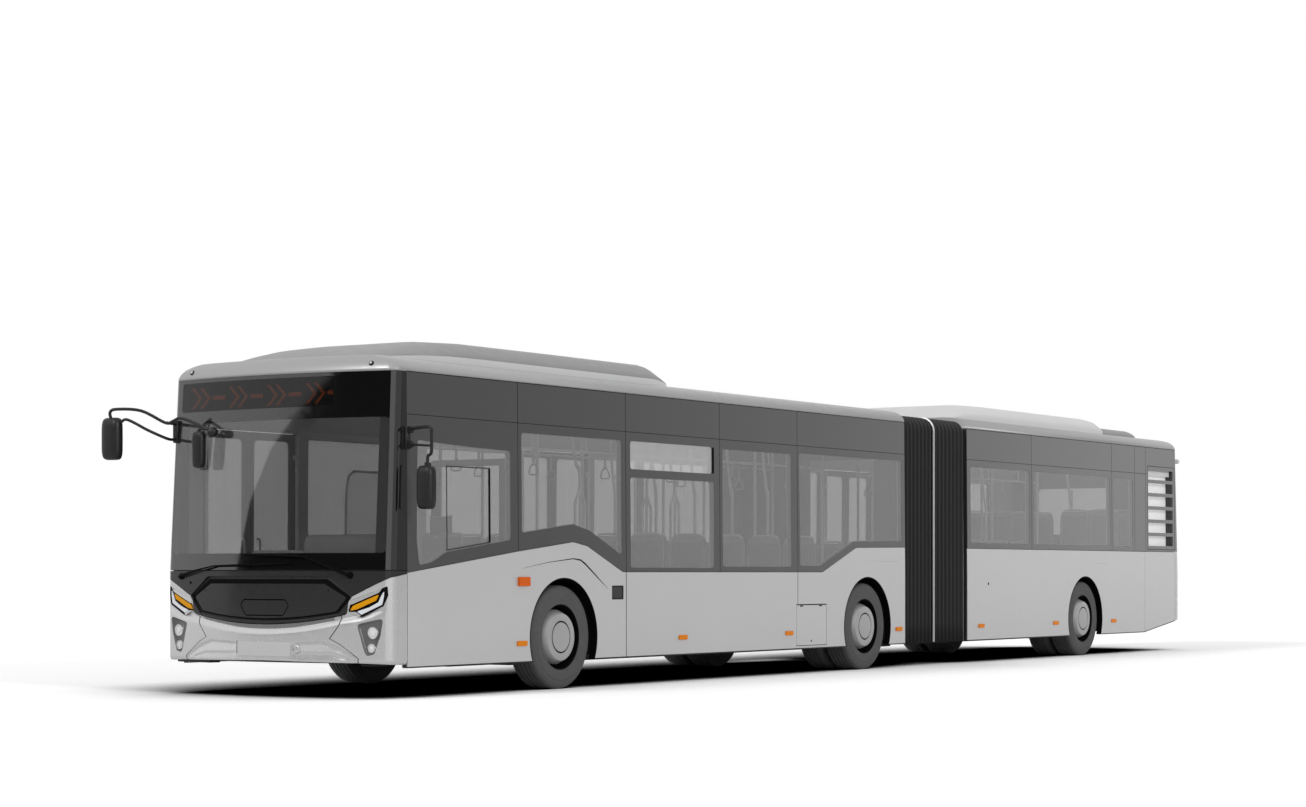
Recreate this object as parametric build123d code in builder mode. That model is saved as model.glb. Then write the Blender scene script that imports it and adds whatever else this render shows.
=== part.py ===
from build123d import *

import os
from math import atan2, cos, sin, sqrt

# An articulated city bus: a front section and a rear section hinged at a turntable.
# Millimetres. X points to the bus's left, Y to its tail and Z up. Stations along the bus
# are counted from the front axle; save() moves each piece to the middle of the footprint.

# Overall sizes
WHEELBASE_FRONT = 5900
WHEELBASE_REAR = 5965
NOSE = -2716
TAIL = 15190
MIRROR_TIP = -3100
HALF_WIDTH = 1275
ROOF_Z = 2930

# Body shell
SKIRT_Z = 262
FLANK_Z = 1070
GUTTER_Z = 2785
GUTTER_X = 1262
WALL = 60
PANE = 8
FLOOR_LOW = 300
FLOOR_Z = 360
CEILING_Z = 2890
NOSE_SEAM = -2330
FRONT_END = 6800
REAR_START = 8400
TAIL_SEAM = 14950
PIVOT = 7575
DISC_RADIUS = 740

# Nose and tail outlines in plan
NOSE_RADIUS = 5000
NOSE_CORNER = 110
TAIL_RADIUS = 14000
TAIL_CORNER = 120
SCREEN_LOW_Z = 1093
SCREEN_TOP = -2620
TAIL_TOP = 15120
MASK = 30

# Wheels
TYRE_RADIUS = 478.5
TYRE_WIDTH = 280
BEAD_RADIUS = 302.5
TYRE_FACE = 1245
TWIN_GAP = 45
HUB_RADIUS = 50
RUNNING_GAP = 0.08
ARCH_RADIUS = 545
KINGPIN_X = 1030
WELL_HALF = 620
WELL_TOP = 1060
WELL_SKIN = 12
AXLES = {"front": 0, "middle": WHEELBASE_FRONT, "rear": WHEELBASE_FRONT + WHEELBASE_REAR}
WELL_X = {"front": 560, "middle": 575, "rear": 575}

# Doors on the right side: the station where each doorway starts
DOORWAYS = {"first": -2150, "second": 2750, "third": 9350}
DOORWAY = 1300
DOOR_LOW_Z = 366
DOOR_TOP_Z = 2385
LEAF_SKIN = 40
LEAF_GAP = 16
COLUMN_X = 1190
COLUMN_RADIUS = 17

SHIFT = -(TAIL + MIRROR_TIP) / 2

# Lower edge of the glazed band along the left side, front section
BELT = [(NOSE_SEAM, 1074), (-730, 1265), (150, 1358), (380, 1323), (980, 1080), (4880, 1080),
        (5640, 1350)]
BELT_Z = 1362
SEAM_STATIONS = {"front": (-720, 1040, 2760, 4340), "rear": (10200, 12720, 13520)}
SEAM = 10

# Clear windows: outlines on the side, as station and height
LEFT_WINDOWS_FRONT = [
    [(-2230, 1351), (-2190, 1130), (-2000, 1161), (-1780, 1254), (-835, 1366), (-835, 2164),
     (-2200, 2200)],
    [(-665, 1431), (150, 1522), (420, 1467), (963, 1238), (963, 2335), (-665, 2335)],
    [(1119, 1120), (2650, 1120), (2650, 2335), (1119, 2335)],
    [(2815, 1134), (4210, 1134), (4210, 2325), (2815, 2325)],
    [(4395, 1144), (4832, 1145), (5587, 1414), (6719, 1432), (6719, 2343), (4376, 2340)],
]
REAR_WINDOWS = [(8496, 10157), (10287, 12682), (12802, 13454)]
RIGHT_WINDOWS_FRONT = [(-690, 1000), (1140, 2660), (4160, 5060), (5160, 6719)]
RIGHT_WINDOWS_REAR = [(8496, 9270), (10740, 12682), (12802, 14200)]
WINDOW_Z = (1430, 2337)

GRILLE = ((13963, 14938), (1387, 2535))
SIDE_FLAP = ((4316, 4961), (300, 727))
ENGINE_LID = ((-820, 820), (560, 1340))
LID_GAP = 6

# Sockets for a screw-in towing eye
TOW_X = 367
TOW_Z = 417
TOW_RADIUS = 21
TOW_DEPTH = 80
TOW_BOSS = 33
TOW_FRONT = -2685
TOW_REAR_Z = 500
TOW_REAR = 15180

# Bellows
PLEAT_DEPTH = 90
PLEATS = 8
BELLOWS_X = 1155
BELLOWS_CORNER = 70
BELLOWS_TOP = 2790
BELLOWS_CLOTH = 12

os.makedirs("parts", exist_ok=True)


def save(piece, name):
    """Label a finished piece, set it in the bus's own frame and write it."""
    placed = Pos(0, SHIFT, 0) * piece.part
    placed.label = name
    export_step(placed, f"parts/{name}.step")


def block(x, y, z, mode=Mode.ADD):
    """A box between pairs of limits."""
    with Locations((sum(x) / 2, sum(y) / 2, sum(z) / 2)):
        Box(x[1] - x[0], y[1] - y[0], z[1] - z[0], mode=mode)


def prism(plane, outline, depth, mode=Mode.ADD):
    """A closed outline on a plane, pushed along the plane's normal."""
    with BuildSketch(plane) as face:
        with BuildLine():
            Polyline(*outline, close=True)
        make_face()
    extrude(face.sketch, amount=depth, mode=mode)


def side_prism(outline, x, mode=Mode.ADD):
    """An outline of stations and heights, pushed across the bus."""
    prism(Plane.YZ.offset(x[0]), outline, x[1] - x[0], mode)


def end_prism(outline, y, mode=Mode.ADD):
    """An outline of X and Z, pushed along the bus."""
    prism(Plane.XZ.offset(-y[0]), outline, y[0] - y[1], mode)


def plan_prism(outline, z, mode=Mode.ADD):
    """An outline of X and stations, pushed upwards."""
    prism(Plane.XY.offset(z[0]), outline, z[1] - z[0], mode)


def rod(start, end, radius, mode=Mode.ADD):
    """A round bar between two points."""
    run = Vector(*end) - Vector(*start)
    with BuildSketch(Plane(origin=start, z_dir=run)) as circle:
        Circle(radius)
    extrude(circle.sketch, amount=run.length, mode=mode)


def tube_run(points, radius):
    """Round bars through a row of points, with a ball at each bend."""
    for start, end in zip(points, points[1:]):
        rod(start, end, radius)
    with Locations(*points[1:-1]):
        Sphere(radius)


def both(outline):
    """An outline's right half added to its left half, which starts and ends near the middle."""
    return outline + [(-x, z) for x, z in reversed(outline) if x > 0]


def end_outline(tip, half, inset, seam, face_radius, corner_radius):
    """Plan of the nose or the tail: a flat arc, two round corners and straight flanks."""
    way = 1 if tip > seam else -1
    middle = way * tip - face_radius
    corner_x = half - corner_radius
    reach = face_radius - corner_radius
    corner_y = middle + sqrt(reach**2 - corner_x**2)
    turn = atan2(corner_y - middle, corner_x)
    round_ = corner_radius - inset

    def corner(angle):
        return (corner_x + round_ * cos(angle), way * (corner_y + round_ * sin(angle)))

    side, bend, top = corner(0), corner(turn / 2), corner(turn)
    crown = (0, way * (middle + face_radius - inset))
    left = [(x, y) for x, y in (side, bend, top)]
    right = [(-x, y) for x, y in (top, bend, side)]
    with BuildLine() as outline:
        Line((side[0], seam), side)
        ThreePointArc(*left)
        ThreePointArc(top, crown, (-top[0], top[1]))
        ThreePointArc(*right)
        Line((-side[0], side[1]), (-side[0], seam))
        Line((-side[0], seam), (side[0], seam))
    return outline.line


def end_loft(levels, inset, kind, mode=Mode.ADD):
    """A solid through the plan outlines of the nose or the tail at (z, tip, half) levels."""
    seam, face_radius, corner_radius = kind
    sections = []
    for z, tip, half in levels:
        with BuildSketch(Plane.XY.offset(z)) as section:
            add(end_outline(tip, half, inset, seam, face_radius, corner_radius))
            make_face()
        sections.append(section.sketch)
    loft(sections, ruled=True, mode=mode)


def end_shell(levels, outer, inner, kind):
    """The skin between two insets of the nose or the tail."""
    end_loft(levels, outer, kind)
    end_loft(levels, inner, kind, Mode.SUBTRACT)


NOSE_KIND = (NOSE_SEAM, NOSE_RADIUS, NOSE_CORNER)
TAIL_KIND = (TAIL_SEAM, TAIL_RADIUS, TAIL_CORNER)
NOSE_LOW = [(SKIRT_Z + 40, NOSE, HALF_WIDTH), (SCREEN_LOW_Z, NOSE, HALF_WIDTH)]
NOSE_HIGH = [(SCREEN_LOW_Z, NOSE, HALF_WIDTH), (GUTTER_Z, SCREEN_TOP, GUTTER_X)]
TAIL_LOW = [(SKIRT_Z + 178, TAIL, HALF_WIDTH), (FLANK_Z, TAIL, HALF_WIDTH)]
TAIL_HIGH = [(FLANK_Z, TAIL, HALF_WIDTH), (GUTTER_Z, TAIL_TOP, GUTTER_X)]

# Cross-section of a side wall and of the roof
FLANK = [(HALF_WIDTH, SKIRT_Z), (HALF_WIDTH, FLANK_Z), (GUTTER_X, GUTTER_Z)]
WALL_SECTION = FLANK + [(HALF_WIDTH - WALL, GUTTER_Z), (HALF_WIDTH - WALL, SKIRT_Z)]
BAND_SECTION = FLANK[1:] + [(GUTTER_X - PANE, GUTTER_Z), (HALF_WIDTH - PANE, FLANK_Z)]
ROOF_EDGE = [(GUTTER_X, GUTTER_Z), (1240, 2835), (1195, 2880), (1000, ROOF_Z)]
ROOF_INSIDE = [(HALF_WIDTH - WALL, GUTTER_Z), (1180, 2815), (1150, 2845), (980, CEILING_Z)]


def mirrored(outline, side):
    """A cross-section for the left side, or turned over for the right side."""
    return [(side * x, z) for x, z in outline]


def rectangle(y, z):
    """A rectangle as an outline of stations and heights."""
    return [(y[0], z[0]), (y[1], z[0]), (y[1], z[1]), (y[0], z[1])]


def wheel_arch(station, side):
    """The round opening in the skirt in front of a wheel."""
    across = (side * 1100, side * 1400)
    rod(*[(x, station, TYRE_RADIUS) for x in across], ARCH_RADIUS, Mode.SUBTRACT)


def side_wall(side, span, belt, windows, arches):
    """A hollow-section wall: lower panel, pocket for the bonded glass, windows and arches."""
    end_prism(mirrored(WALL_SECTION, side), span)
    with BuildPart(mode=Mode.PRIVATE) as pocket:
        end_prism(mirrored(BAND_SECTION, side), span)
        across = (1200, 1300) if side > 0 else (-1300, -1200)
        side_prism(belt + [(span[1], 2900), (span[0], 2900)], across, Mode.INTERSECT)
    add(pocket.part, mode=Mode.SUBTRACT)
    through = (side * 1150, side * 1350)
    for window in windows:
        side_prism(window, through, Mode.SUBTRACT)
    for station in arches:
        wheel_arch(station, side)
    return pocket.part


def doorway_cut(start):
    """The opening that a pair of door leaves fills."""
    block((-1350, -1150), (start, start + DOORWAY), (DOOR_LOW_Z, DOOR_TOP_Z), Mode.SUBTRACT)


def wheel_wells(names):
    """Openings in the floor and the boxes over the wheels."""
    for name in names:
        station, inner = AXLES[name], WELL_X[name]
        for side in (1, -1):
            wide = sorted((side * inner, side * (HALF_WIDTH - WALL)))
            along = (station - WELL_HALF, station + WELL_HALF)
            block(wide, along, (FLOOR_LOW, WELL_TOP))
            wide = sorted((side * (inner + WELL_SKIN), side * 1300))
            along = (along[0] + WELL_SKIN, along[1] - WELL_SKIN)
            block(wide, along, (0, WELL_TOP - WELL_SKIN), Mode.SUBTRACT)


front_belt = BELT + [(FRONT_END, BELT_Z)]
rear_belt = [(REAR_START, BELT_Z), (TAIL_SEAM, BELT_Z)]
high_belt = [(NOSE_SEAM, BELT_Z), (FRONT_END, BELT_Z)]

# ---------------------------------------------------------------- front section, carrying parts

with BuildPart() as front_underframe:
    end_loft([(FLOOR_LOW, NOSE, HALF_WIDTH), (FLOOR_Z, NOSE, HALF_WIDTH)], 2 * MASK, NOSE_KIND)
    block((-1215, 1215), (NOSE_SEAM, FRONT_END), (FLOOR_LOW, FLOOR_Z))
    wheel_wells(["front", "middle"])
    for side in (1, -1):
        rail = sorted((side * 400, side * 470))
        block(rail, (-700, -90), (210, FLOOR_LOW))
        block(rail, (90, 5800), (210, FLOOR_LOW))
        block(rail, (6000, FRONT_END), (210, FLOOR_LOW))
    for station in (1500, 3000, 4500):
        block((-470, 470), (station, station + 60), (210, FLOOR_LOW))
    # portal that the bellows is fixed to
    block((-1215, 1215), (6740, FRONT_END), (FLOOR_Z, 2785))
    block((-900, 900), (6700, 6850), (FLOOR_Z, 2450), Mode.SUBTRACT)
    # partition behind the driver
    block((330, 1215), (-780, -750), (FLOOR_Z, 2100))
    block((420, 1100), (-800, -700), (1150, 2040), Mode.SUBTRACT)
save(front_underframe, "front_underframe")

with BuildPart() as front_left_wall:
    whole = (NOSE_SEAM, FRONT_END)
    front_left_band = side_wall(1, whole, front_belt, LEFT_WINDOWS_FRONT, (0, WHEELBASE_FRONT))
    flap_y, flap_z = SIDE_FLAP
    along = (flap_y[0] - LID_GAP, flap_y[1] + LID_GAP)
    block((1240, 1300), along, (flap_z[0] - LID_GAP, flap_z[1] + 2 * LID_GAP), Mode.SUBTRACT)
    # recess of the fuel filler
    block((1262, 1300), (793, 991), (818, 951), Mode.SUBTRACT)
save(front_left_wall, "front_left_wall")

with BuildPart() as front_right_wall:
    windows = [rectangle(span, WINDOW_Z) for span in RIGHT_WINDOWS_FRONT]
    front_right_band = side_wall(-1, (NOSE_SEAM, FRONT_END), high_belt, windows, (0, WHEELBASE_FRONT))
    for name in ("first", "second"):
        doorway_cut(DOORWAYS[name])
save(front_right_wall, "front_right_wall")

NOSE_ROOF = [(GUTTER_Z, SCREEN_TOP, GUTTER_X), (2835, -2608, 1240), (2880, -2590, 1195),
             (ROOF_Z, -2535, 1000)]
with BuildPart() as front_roof:
    end_loft(NOSE_ROOF, 0, NOSE_KIND)
    end_loft([(GUTTER_Z, SCREEN_TOP, GUTTER_X), (2850, -2595, 1180)], 50, NOSE_KIND, Mode.SUBTRACT)
    roof_section = both(ROOF_EDGE) + both(ROOF_INSIDE)[::-1]
    end_prism(roof_section, (NOSE_SEAM, FRONT_END))
save(front_roof, "front_roof")

with BuildPart() as nose_frame:
    end_shell(NOSE_HIGH, PANE, 50, NOSE_KIND)
    end_prism([(-1120, 1240), (1120, 1240), (1120, 2775), (-1120, 2775)], (-3000, -2300), Mode.SUBTRACT)
    with BuildPart(mode=Mode.PRIVATE) as lower:
        end_shell(NOSE_LOW, MASK, 60, NOSE_KIND)
    add(lower.part)
    rod((TOW_X, TOW_FRONT, TOW_Z), (TOW_X, TOW_FRONT + 110, TOW_Z), TOW_BOSS)
    rod((TOW_X, TOW_FRONT, TOW_Z), (TOW_X, TOW_FRONT + TOW_DEPTH, TOW_Z), TOW_RADIUS, Mode.SUBTRACT)
save(nose_frame, "nose_frame")

# silver bumper and corners below, dark mask above, parted by a line seen from the front
PARTING = [(0, 630), (355, 650), (810, 708), (900, 730), (923, 870), (1121, 970), (1256, 1036),
           (1300, 1062)]
HEADLAMP = [(882, 744), (914, 861), (1262, 958), (1262, 893), (1185, 789), (994, 708), (956, 730)]
FOG_RECESS = [(962, 635), (1205, 688), (1177, 535), (1121, 382), (1050, 367), (1027, 417)]
FLAP = [(0, 668), (355, 680), (780, 735), (900, 862), (668, 1018), (0, 1018)]
FLAP_HOLE = [(0, 658), (358, 670), (788, 725), (912, 864), (674, 1030), (0, 1030)]

with BuildPart() as bumper:
    end_shell(NOSE_LOW, 0, MASK, NOSE_KIND)
    left = PARTING + [(1300, 200), (0, 200)]
    end_prism(both(left), (-3000, -2000), Mode.INTERSECT)
    for side in (1, -1):
        end_prism(mirrored(HEADLAMP, side), (-3000, -2450), Mode.SUBTRACT)
        end_prism(mirrored(FOG_RECESS, side), (-3000, -2450), Mode.SUBTRACT)
    rod((TOW_X, -2800, TOW_Z), (TOW_X, -2600, TOW_Z), TOW_BOSS + 3, Mode.SUBTRACT)
save(bumper, "bumper")

with BuildPart() as front_mask:
    end_shell(NOSE_LOW, 0, MASK, NOSE_KIND)
    left = PARTING + [(1300, 1100), (0, 1100)]
    end_prism(both(left), (-3000, -2000), Mode.INTERSECT)
    end_prism(both(FLAP_HOLE), (-3000, -2000), Mode.SUBTRACT)
    for side in (1, -1):
        end_prism(mirrored(HEADLAMP, side), (-3000, -2450), Mode.SUBTRACT)
save(front_mask, "front_mask")

with BuildPart() as front_flap:
    end_shell(NOSE_LOW, 0, 12, NOSE_KIND)
    end_prism(both(FLAP), (-3000, -2000), Mode.INTERSECT)
    rod((-120, NOSE + 4, 1020), (120, NOSE + 4, 1020), 4)
save(front_flap, "front_flap")

with BuildPart() as front_lamps:
    for side in (1, -1):
        with BuildPart(mode=Mode.PRIVATE) as lens:
            end_shell(NOSE_LOW, 2, MASK, NOSE_KIND)
            end_prism(mirrored(HEADLAMP, side), (-3000, -2450), Mode.INTERSECT)
        add(lens.part)
        with BuildPart(mode=Mode.PRIVATE) as fog:
            end_shell(NOSE_LOW, 20, MASK, NOSE_KIND)
            end_prism(mirrored(FOG_RECESS, side), (-3000, -2450), Mode.INTERSECT)
        add(fog.part)
    for station in (-670, 2050, 4150):
        block((1275, 1283), (station - 80, station + 80), (410, 460))
        block((-1283, -1275), (station - 80, station + 80), (410, 460))
save(front_lamps, "front_lamps")

# ---------------------------------------------------------------- front section, glass


with BuildPart() as front_glass:
    end_shell(NOSE_HIGH, 0, PANE, NOSE_KIND)
    add(front_left_band)
    add(front_right_band)
    block((1200, 1300), (NOSE_SEAM, NOSE_SEAM + SEAM), (SKIRT_Z, 2900), Mode.SUBTRACT)
    block((-1300, -1200), (NOSE_SEAM, NOSE_SEAM + SEAM), (SKIRT_Z, 2900), Mode.SUBTRACT)
    for side in (1, -1):
        for station in SEAM_STATIONS["front"]:
            limits = sorted((side * 1200, side * 1300))
            block(limits, (station - SEAM / 2, station + SEAM / 2), (1000, 2784), Mode.SUBTRACT)
    for name in ("first", "second"):
        doorway_cut(DOORWAYS[name])
save(front_glass, "front_glass")

# ---------------------------------------------------------------- front section, fittings

with BuildPart() as destination_sign:
    block((-1060, 660), (-2445, -2370), (2490, 2785))
save(destination_sign, "destination_sign")

with BuildPart() as wipers:
    tube_run([(-1040, -2640, 1038), (-566, -2735, 1132), (328, -2745, 1153)], 9)
    tube_run([(900, -2665, 1050), (452, -2738, 1216), (-300, -2748, 1250)], 9)
    rod((-1040, -2640, 1038), (-1040, -2612, 1038), 18)
    rod((900, -2665, 1050), (900, -2642, 1050), 18)
save(wipers, "wipers")

with BuildPart() as mirrors:
    # left head under a crank from a foot on the front pillar
    block((1435, 1605), (-2440, -2360), (1607, 1976))
    end_prism([(1268, 2120), (1300, 2120), (1300, 2310), (1267, 2310)], (-2375, -2315))
    tube_run([(1280, -2345, 2285), (1440, -2370, 2298), (1586, -2400, 2290), (1586, -2400, 2090),
              (1545, -2400, 2050), (1545, -2400, 1960)], 15)
    rod((1280, -2345, 2160), (1586, -2400, 2140), 11)
    # right head under two tubes that reach ahead of the nose
    block((-1605, -1395), (-3060, -2980), (2067, 2444))
    tube_run([(-1215, -2545, 2560), (-1300, -2800, 2600), (-1430, MIRROR_TIP + 15, 2570),
              (-1500, -3040, 2430)], 15)
    tube_run([(-1230, -2550, 2250), (-1330, -2850, 2240), (-1470, -3000, 2200)], 15)
save(mirrors, "mirrors")

with BuildPart() as front_roof_unit:
    end_prism(both([(950, ROOF_Z), (950, 3030), (850, 3160)]), (-2200, 2300))
    side_prism([(-2300, 2960), (-1650, 3200), (-2300, 3200)], (-1000, 1000), Mode.SUBTRACT)
    side_prism([(2400, 2990), (2100, 3200), (2400, 3200)], (-1000, 1000), Mode.SUBTRACT)
save(front_roof_unit, "front_roof_unit")

with BuildPart() as dashboard:
    end_loft([(980, NOSE, HALF_WIDTH), (1040, NOSE, HALF_WIDTH)], 2 * MASK, NOSE_KIND)
    side_prism([(-2400, FLOOR_Z), (-2050, FLOOR_Z), (-1980, 960), (-2120, 1090), (-2400, 1090)], (180, 1140))
    rod((700, -2080, 1010), (700, -1890, 1130), 30)
    with Locations(Plane(origin=(700, -1880, 1137), z_dir=(0, 0.85, 0.53))):
        Torus(220, 14)
        Box(420, 40, 20)
save(dashboard, "dashboard")


def seat(x, station, floor_z, facing=1):
    """A two-place seat on a pedestal: cushion, backrest and stand."""
    back = sorted((station, station + facing * 60))
    cushion = sorted((station, station - facing * 430))
    foot = sorted((station - facing * 120, station - facing * 320))
    block(x, back, (floor_z + 440, floor_z + 1100))
    block(x, cushion, (floor_z + 370, floor_z + 460))
    block((x[0] + 250, x[1] - 250), foot, (floor_z, floor_z + 370))


LEFT_SEATS_FRONT = (1800, 2560, 3320, 4080, 4840)
RIGHT_SEATS_FRONT = (1500, 2300, 4900)
SEAT_LEFT = (352, 1195)
SEAT_RIGHT = (-1195, -352)

with BuildPart() as front_seats:
    for station in LEFT_SEATS_FRONT:
        seat(SEAT_LEFT, station, FLOOR_Z)
    for station in RIGHT_SEATS_FRONT:
        seat(SEAT_RIGHT, station, FLOOR_Z)
    # driver's seat on its own stand
    block((450, 950), (-1160, -1060), (850, 1600))
    block((450, 950), (-1620, -1160), (780, 880))
    block((550, 850), (-1540, -1200), (FLOOR_Z, 780))
save(front_seats, "front_seats")


def handrails(poles, rail_z, ends):
    """Floor to ceiling poles joined by a rail on each side of the aisle."""
    for side in (1, -1):
        for station in poles:
            rod((side * 330, station, FLOOR_Z), (side * 330, station, CEILING_Z), 16)
        rod((side * 330, ends[0], rail_z), (side * 330, ends[1], rail_z), 13)


with BuildPart() as front_handrails:
    handrails((-640, 900, 2640, 4200, 5040, 6560), 2270, (-640, 6560))
save(front_handrails, "front_handrails")

# ---------------------------------------------------------------- running gear


def dropped_beam(station, reach, rise_z):
    """An axle beam that dips under the low floor and rises inside the wheel wells."""
    left = [(0, 210), (700, 210), (reach, rise_z - 75), (reach, rise_z + 75), (930, rise_z + 75),
            (660, FLOOR_LOW), (0, FLOOR_LOW)]
    end_prism(both(left), (station - 60, station + 60))


with BuildPart() as front_axle_beam:
    dropped_beam(0, KINGPIN_X - 40, TYRE_RADIUS)
    for side in (1, -1):
        boss = [(side * KINGPIN_X, 0, TYRE_RADIUS + dz) for dz in (-95, 95)]
        bore = [(side * KINGPIN_X, 0, z) for z in (200, 700)]
        rod(*boss, 55)
        rod(*bore, 30 + RUNNING_GAP, Mode.SUBTRACT)
save(front_axle_beam, "front_axle_beam")

STUB_END = TYRE_FACE - 300


def straight_axle(station):
    """An axle under the floor with a stub through each pair of wheels."""
    block((-630, 630), (station - 80, station + 80), (210, FLOOR_LOW))
    for side in (1, -1):
        block(sorted((side * 592, side * 630)), (station - 80, station + 80), (210, 560))
        rod((side * 630, station, TYRE_RADIUS), (side * STUB_END, station, TYRE_RADIUS), HUB_RADIUS)


for name in ("middle", "rear"):
    with BuildPart() as axle:
        straight_axle(AXLES[name])
    save(axle, f"{name}_axle")

for name, side in (("left", 1), ("right", -1)):
    with BuildPart() as knuckle:
        middle = TYRE_RADIUS
        rod((side * KINGPIN_X, 0, middle - 150), (side * KINGPIN_X, 0, middle + 150), 30)
        for low, high in ((-150, -110), (110, 150)):
            block(sorted((side * 1000, side * 1120)), (-60, 60), (middle + low, middle + high))
        block(sorted((side * 1095, side * 1120)), (-60, 60), (middle - 150, middle + 150))
        rod((side * 1120, 0, middle), (side * (TYRE_FACE - 72), 0, middle), HUB_RADIUS)
    save(knuckle, f"knuckle_{name}")

# Wheel profiles as (distance inboard of the tyre's outer face, radius)
BORE = HUB_RADIUS + RUNNING_GAP
TYRE_PROFILE = [
    (12, BEAD_RADIUS), (0, 390), (12, 455), (40, TYRE_RADIUS), (240, TYRE_RADIUS), (268, 455),
    (280, 390), (268, BEAD_RADIUS),
]
SINGLE_RIM = [
    (12, BEAD_RADIUS), (12, 285), (70, 285), (70, 240), (25, 215), (15, 145), (15, 0), (30, 0),
    (30, 140), (40, 205), (72, 225), (72, BORE), (100, BORE), (100, 285), (268, 285),
    (268, BEAD_RADIUS),
]
TWIN_RIM = [
    (12, BEAD_RADIUS), (12, 285), (250, 285), (250, 240), (150, 215), (125, 145), (125, 0),
    (140, 0), (140, 140), (165, 205), (270, 235), (300, 235), (300, BORE), (330, BORE),
    (330, 285), (593, 285), (593, BEAD_RADIUS),
]


def spin(profile, station, side, shift=0):
    """A wheel profile turned about the axle line."""
    with BuildSketch(Plane.XY.offset(TYRE_RADIUS)) as half:
        with BuildLine():
            Polyline(*[(side * (TYRE_FACE - shift - x), station + r) for x, r in profile], close=True)
        make_face()
    revolve(half.sketch, Axis((0, station, TYRE_RADIUS), (1, 0, 0)))


for axle_name, station in AXLES.items():
    for side_name, side in (("left", 1), ("right", -1)):
        with BuildPart() as tyre:
            spin(TYRE_PROFILE, station, side)
            if axle_name != "front":
                spin(TYRE_PROFILE, station, side, TYRE_WIDTH + TWIN_GAP)
        save(tyre, f"tyre_{axle_name}_{side_name}")
        with BuildPart() as rim:
            spin(SINGLE_RIM if axle_name == "front" else TWIN_RIM, station, side)
        save(rim, f"rim_{axle_name}_{side_name}")

# ---------------------------------------------------------------- doors and lids

for name, start in DOORWAYS.items():
    for leaf_name, edge, way in (("front", start, 1), ("back", start + DOORWAY, -1)):
        hinge_y = edge + way * 25
        leaf = sorted((edge + way * 5, edge + way * (DOORWAY - LEAF_GAP) / 2))
        glass = (leaf[0] + 70, leaf[1] - 70)
        with BuildPart() as door:
            block((-HALF_WIDTH, -HALF_WIDTH + LEAF_SKIN), leaf, (DOOR_LOW_Z + 6, DOOR_TOP_Z - 6))
            block((-HALF_WIDTH - 5, -HALF_WIDTH + 4), glass, (470, 2290), Mode.SUBTRACT)
            block((-HALF_WIDTH + 10, -HALF_WIDTH + 60), glass, (470, 2290), Mode.SUBTRACT)
            rod((-COLUMN_X, hinge_y, DOOR_LOW_Z + 6), (-COLUMN_X, hinge_y, 2372), COLUMN_RADIUS)
            for z in (620, 2140):
                block((-1240, -COLUMN_X), (hinge_y - 15, hinge_y + 15), (z, z + 40))
        save(door, f"door_{name}_{leaf_name}")

with BuildPart() as side_flap:
    block((HALF_WIDTH - 20, HALF_WIDTH), *SIDE_FLAP)
    rod((HALF_WIDTH, 4450, flap_z[1]), (HALF_WIDTH, 4830, flap_z[1]), 5)
save(side_flap, "side_flap")

# ---------------------------------------------------------------- turntable and bellows

with BuildPart() as turntable_lower:
    block((-600, 600), (FRONT_END, PIVOT), (205, 250))
    rod((0, PIVOT, 205), (0, PIVOT, 250), 600)
    block((-600, 600), (FRONT_END, FRONT_END + 60), (205, FLOOR_Z))
    block((-880, 880), (FRONT_END, PIVOT - 100), (FLOOR_LOW, FLOOR_Z))
    rod((0, PIVOT, FLOOR_LOW - 5), (0, PIVOT, FLOOR_Z + 5), DISC_RADIUS + 6, Mode.SUBTRACT)
    rod((0, PIVOT, 250), (0, PIVOT, FLOOR_LOW), 110)
save(turntable_lower, "turntable_lower")

with BuildPart() as turntable_upper:
    rod((0, PIVOT, FLOOR_LOW + 6), (0, PIVOT, FLOOR_Z), DISC_RADIUS)
    block((-480, 480), (PIVOT, REAR_START), (FLOOR_LOW + 6, FLOOR_Z))
save(turntable_upper, "turntable_upper")


def portal(half, low, high, corner, y):
    """A closed upright outline with round upper corners, pushed along the bus."""
    with BuildSketch(Plane.XZ.offset(-y[0])) as frame_face:
        with BuildLine():
            FilletPolyline((half, low), (half, high), (-half, high), (-half, low), radius=corner)
            Line((-half, low), (half, low))
        make_face()
    return frame_face.sketch


RING = (PIVOT - 16, PIVOT + 16)
with BuildPart() as bellows_ring:
    extrude(portal(1252, 262, 2886, 160, RING), amount=RING[0] - RING[1])
    extrude(portal(1150, 290, 2785, 70, RING), amount=RING[0] - RING[1], mode=Mode.SUBTRACT)
    rod((0, PIVOT, 258), (0, PIVOT, 290), 180)
    rod((0, PIVOT, 250), (0, PIVOT, 300), 118, Mode.SUBTRACT)
save(bellows_ring, "bellows_ring")


def pleated(start, end, out):
    """Zigzag cloth section: stations along the bus, with out(depth) placing each fold."""
    pitch = (end - start) / (2 * PLEATS)
    folds = [(start + n * pitch, PLEAT_DEPTH * (n % 2)) for n in range(2 * PLEATS + 1)]
    inner = [out(y, depth - BELLOWS_CLOTH) for y, depth in reversed(folds)]
    return [out(y, depth) for y, depth in folds] + inner


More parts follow.
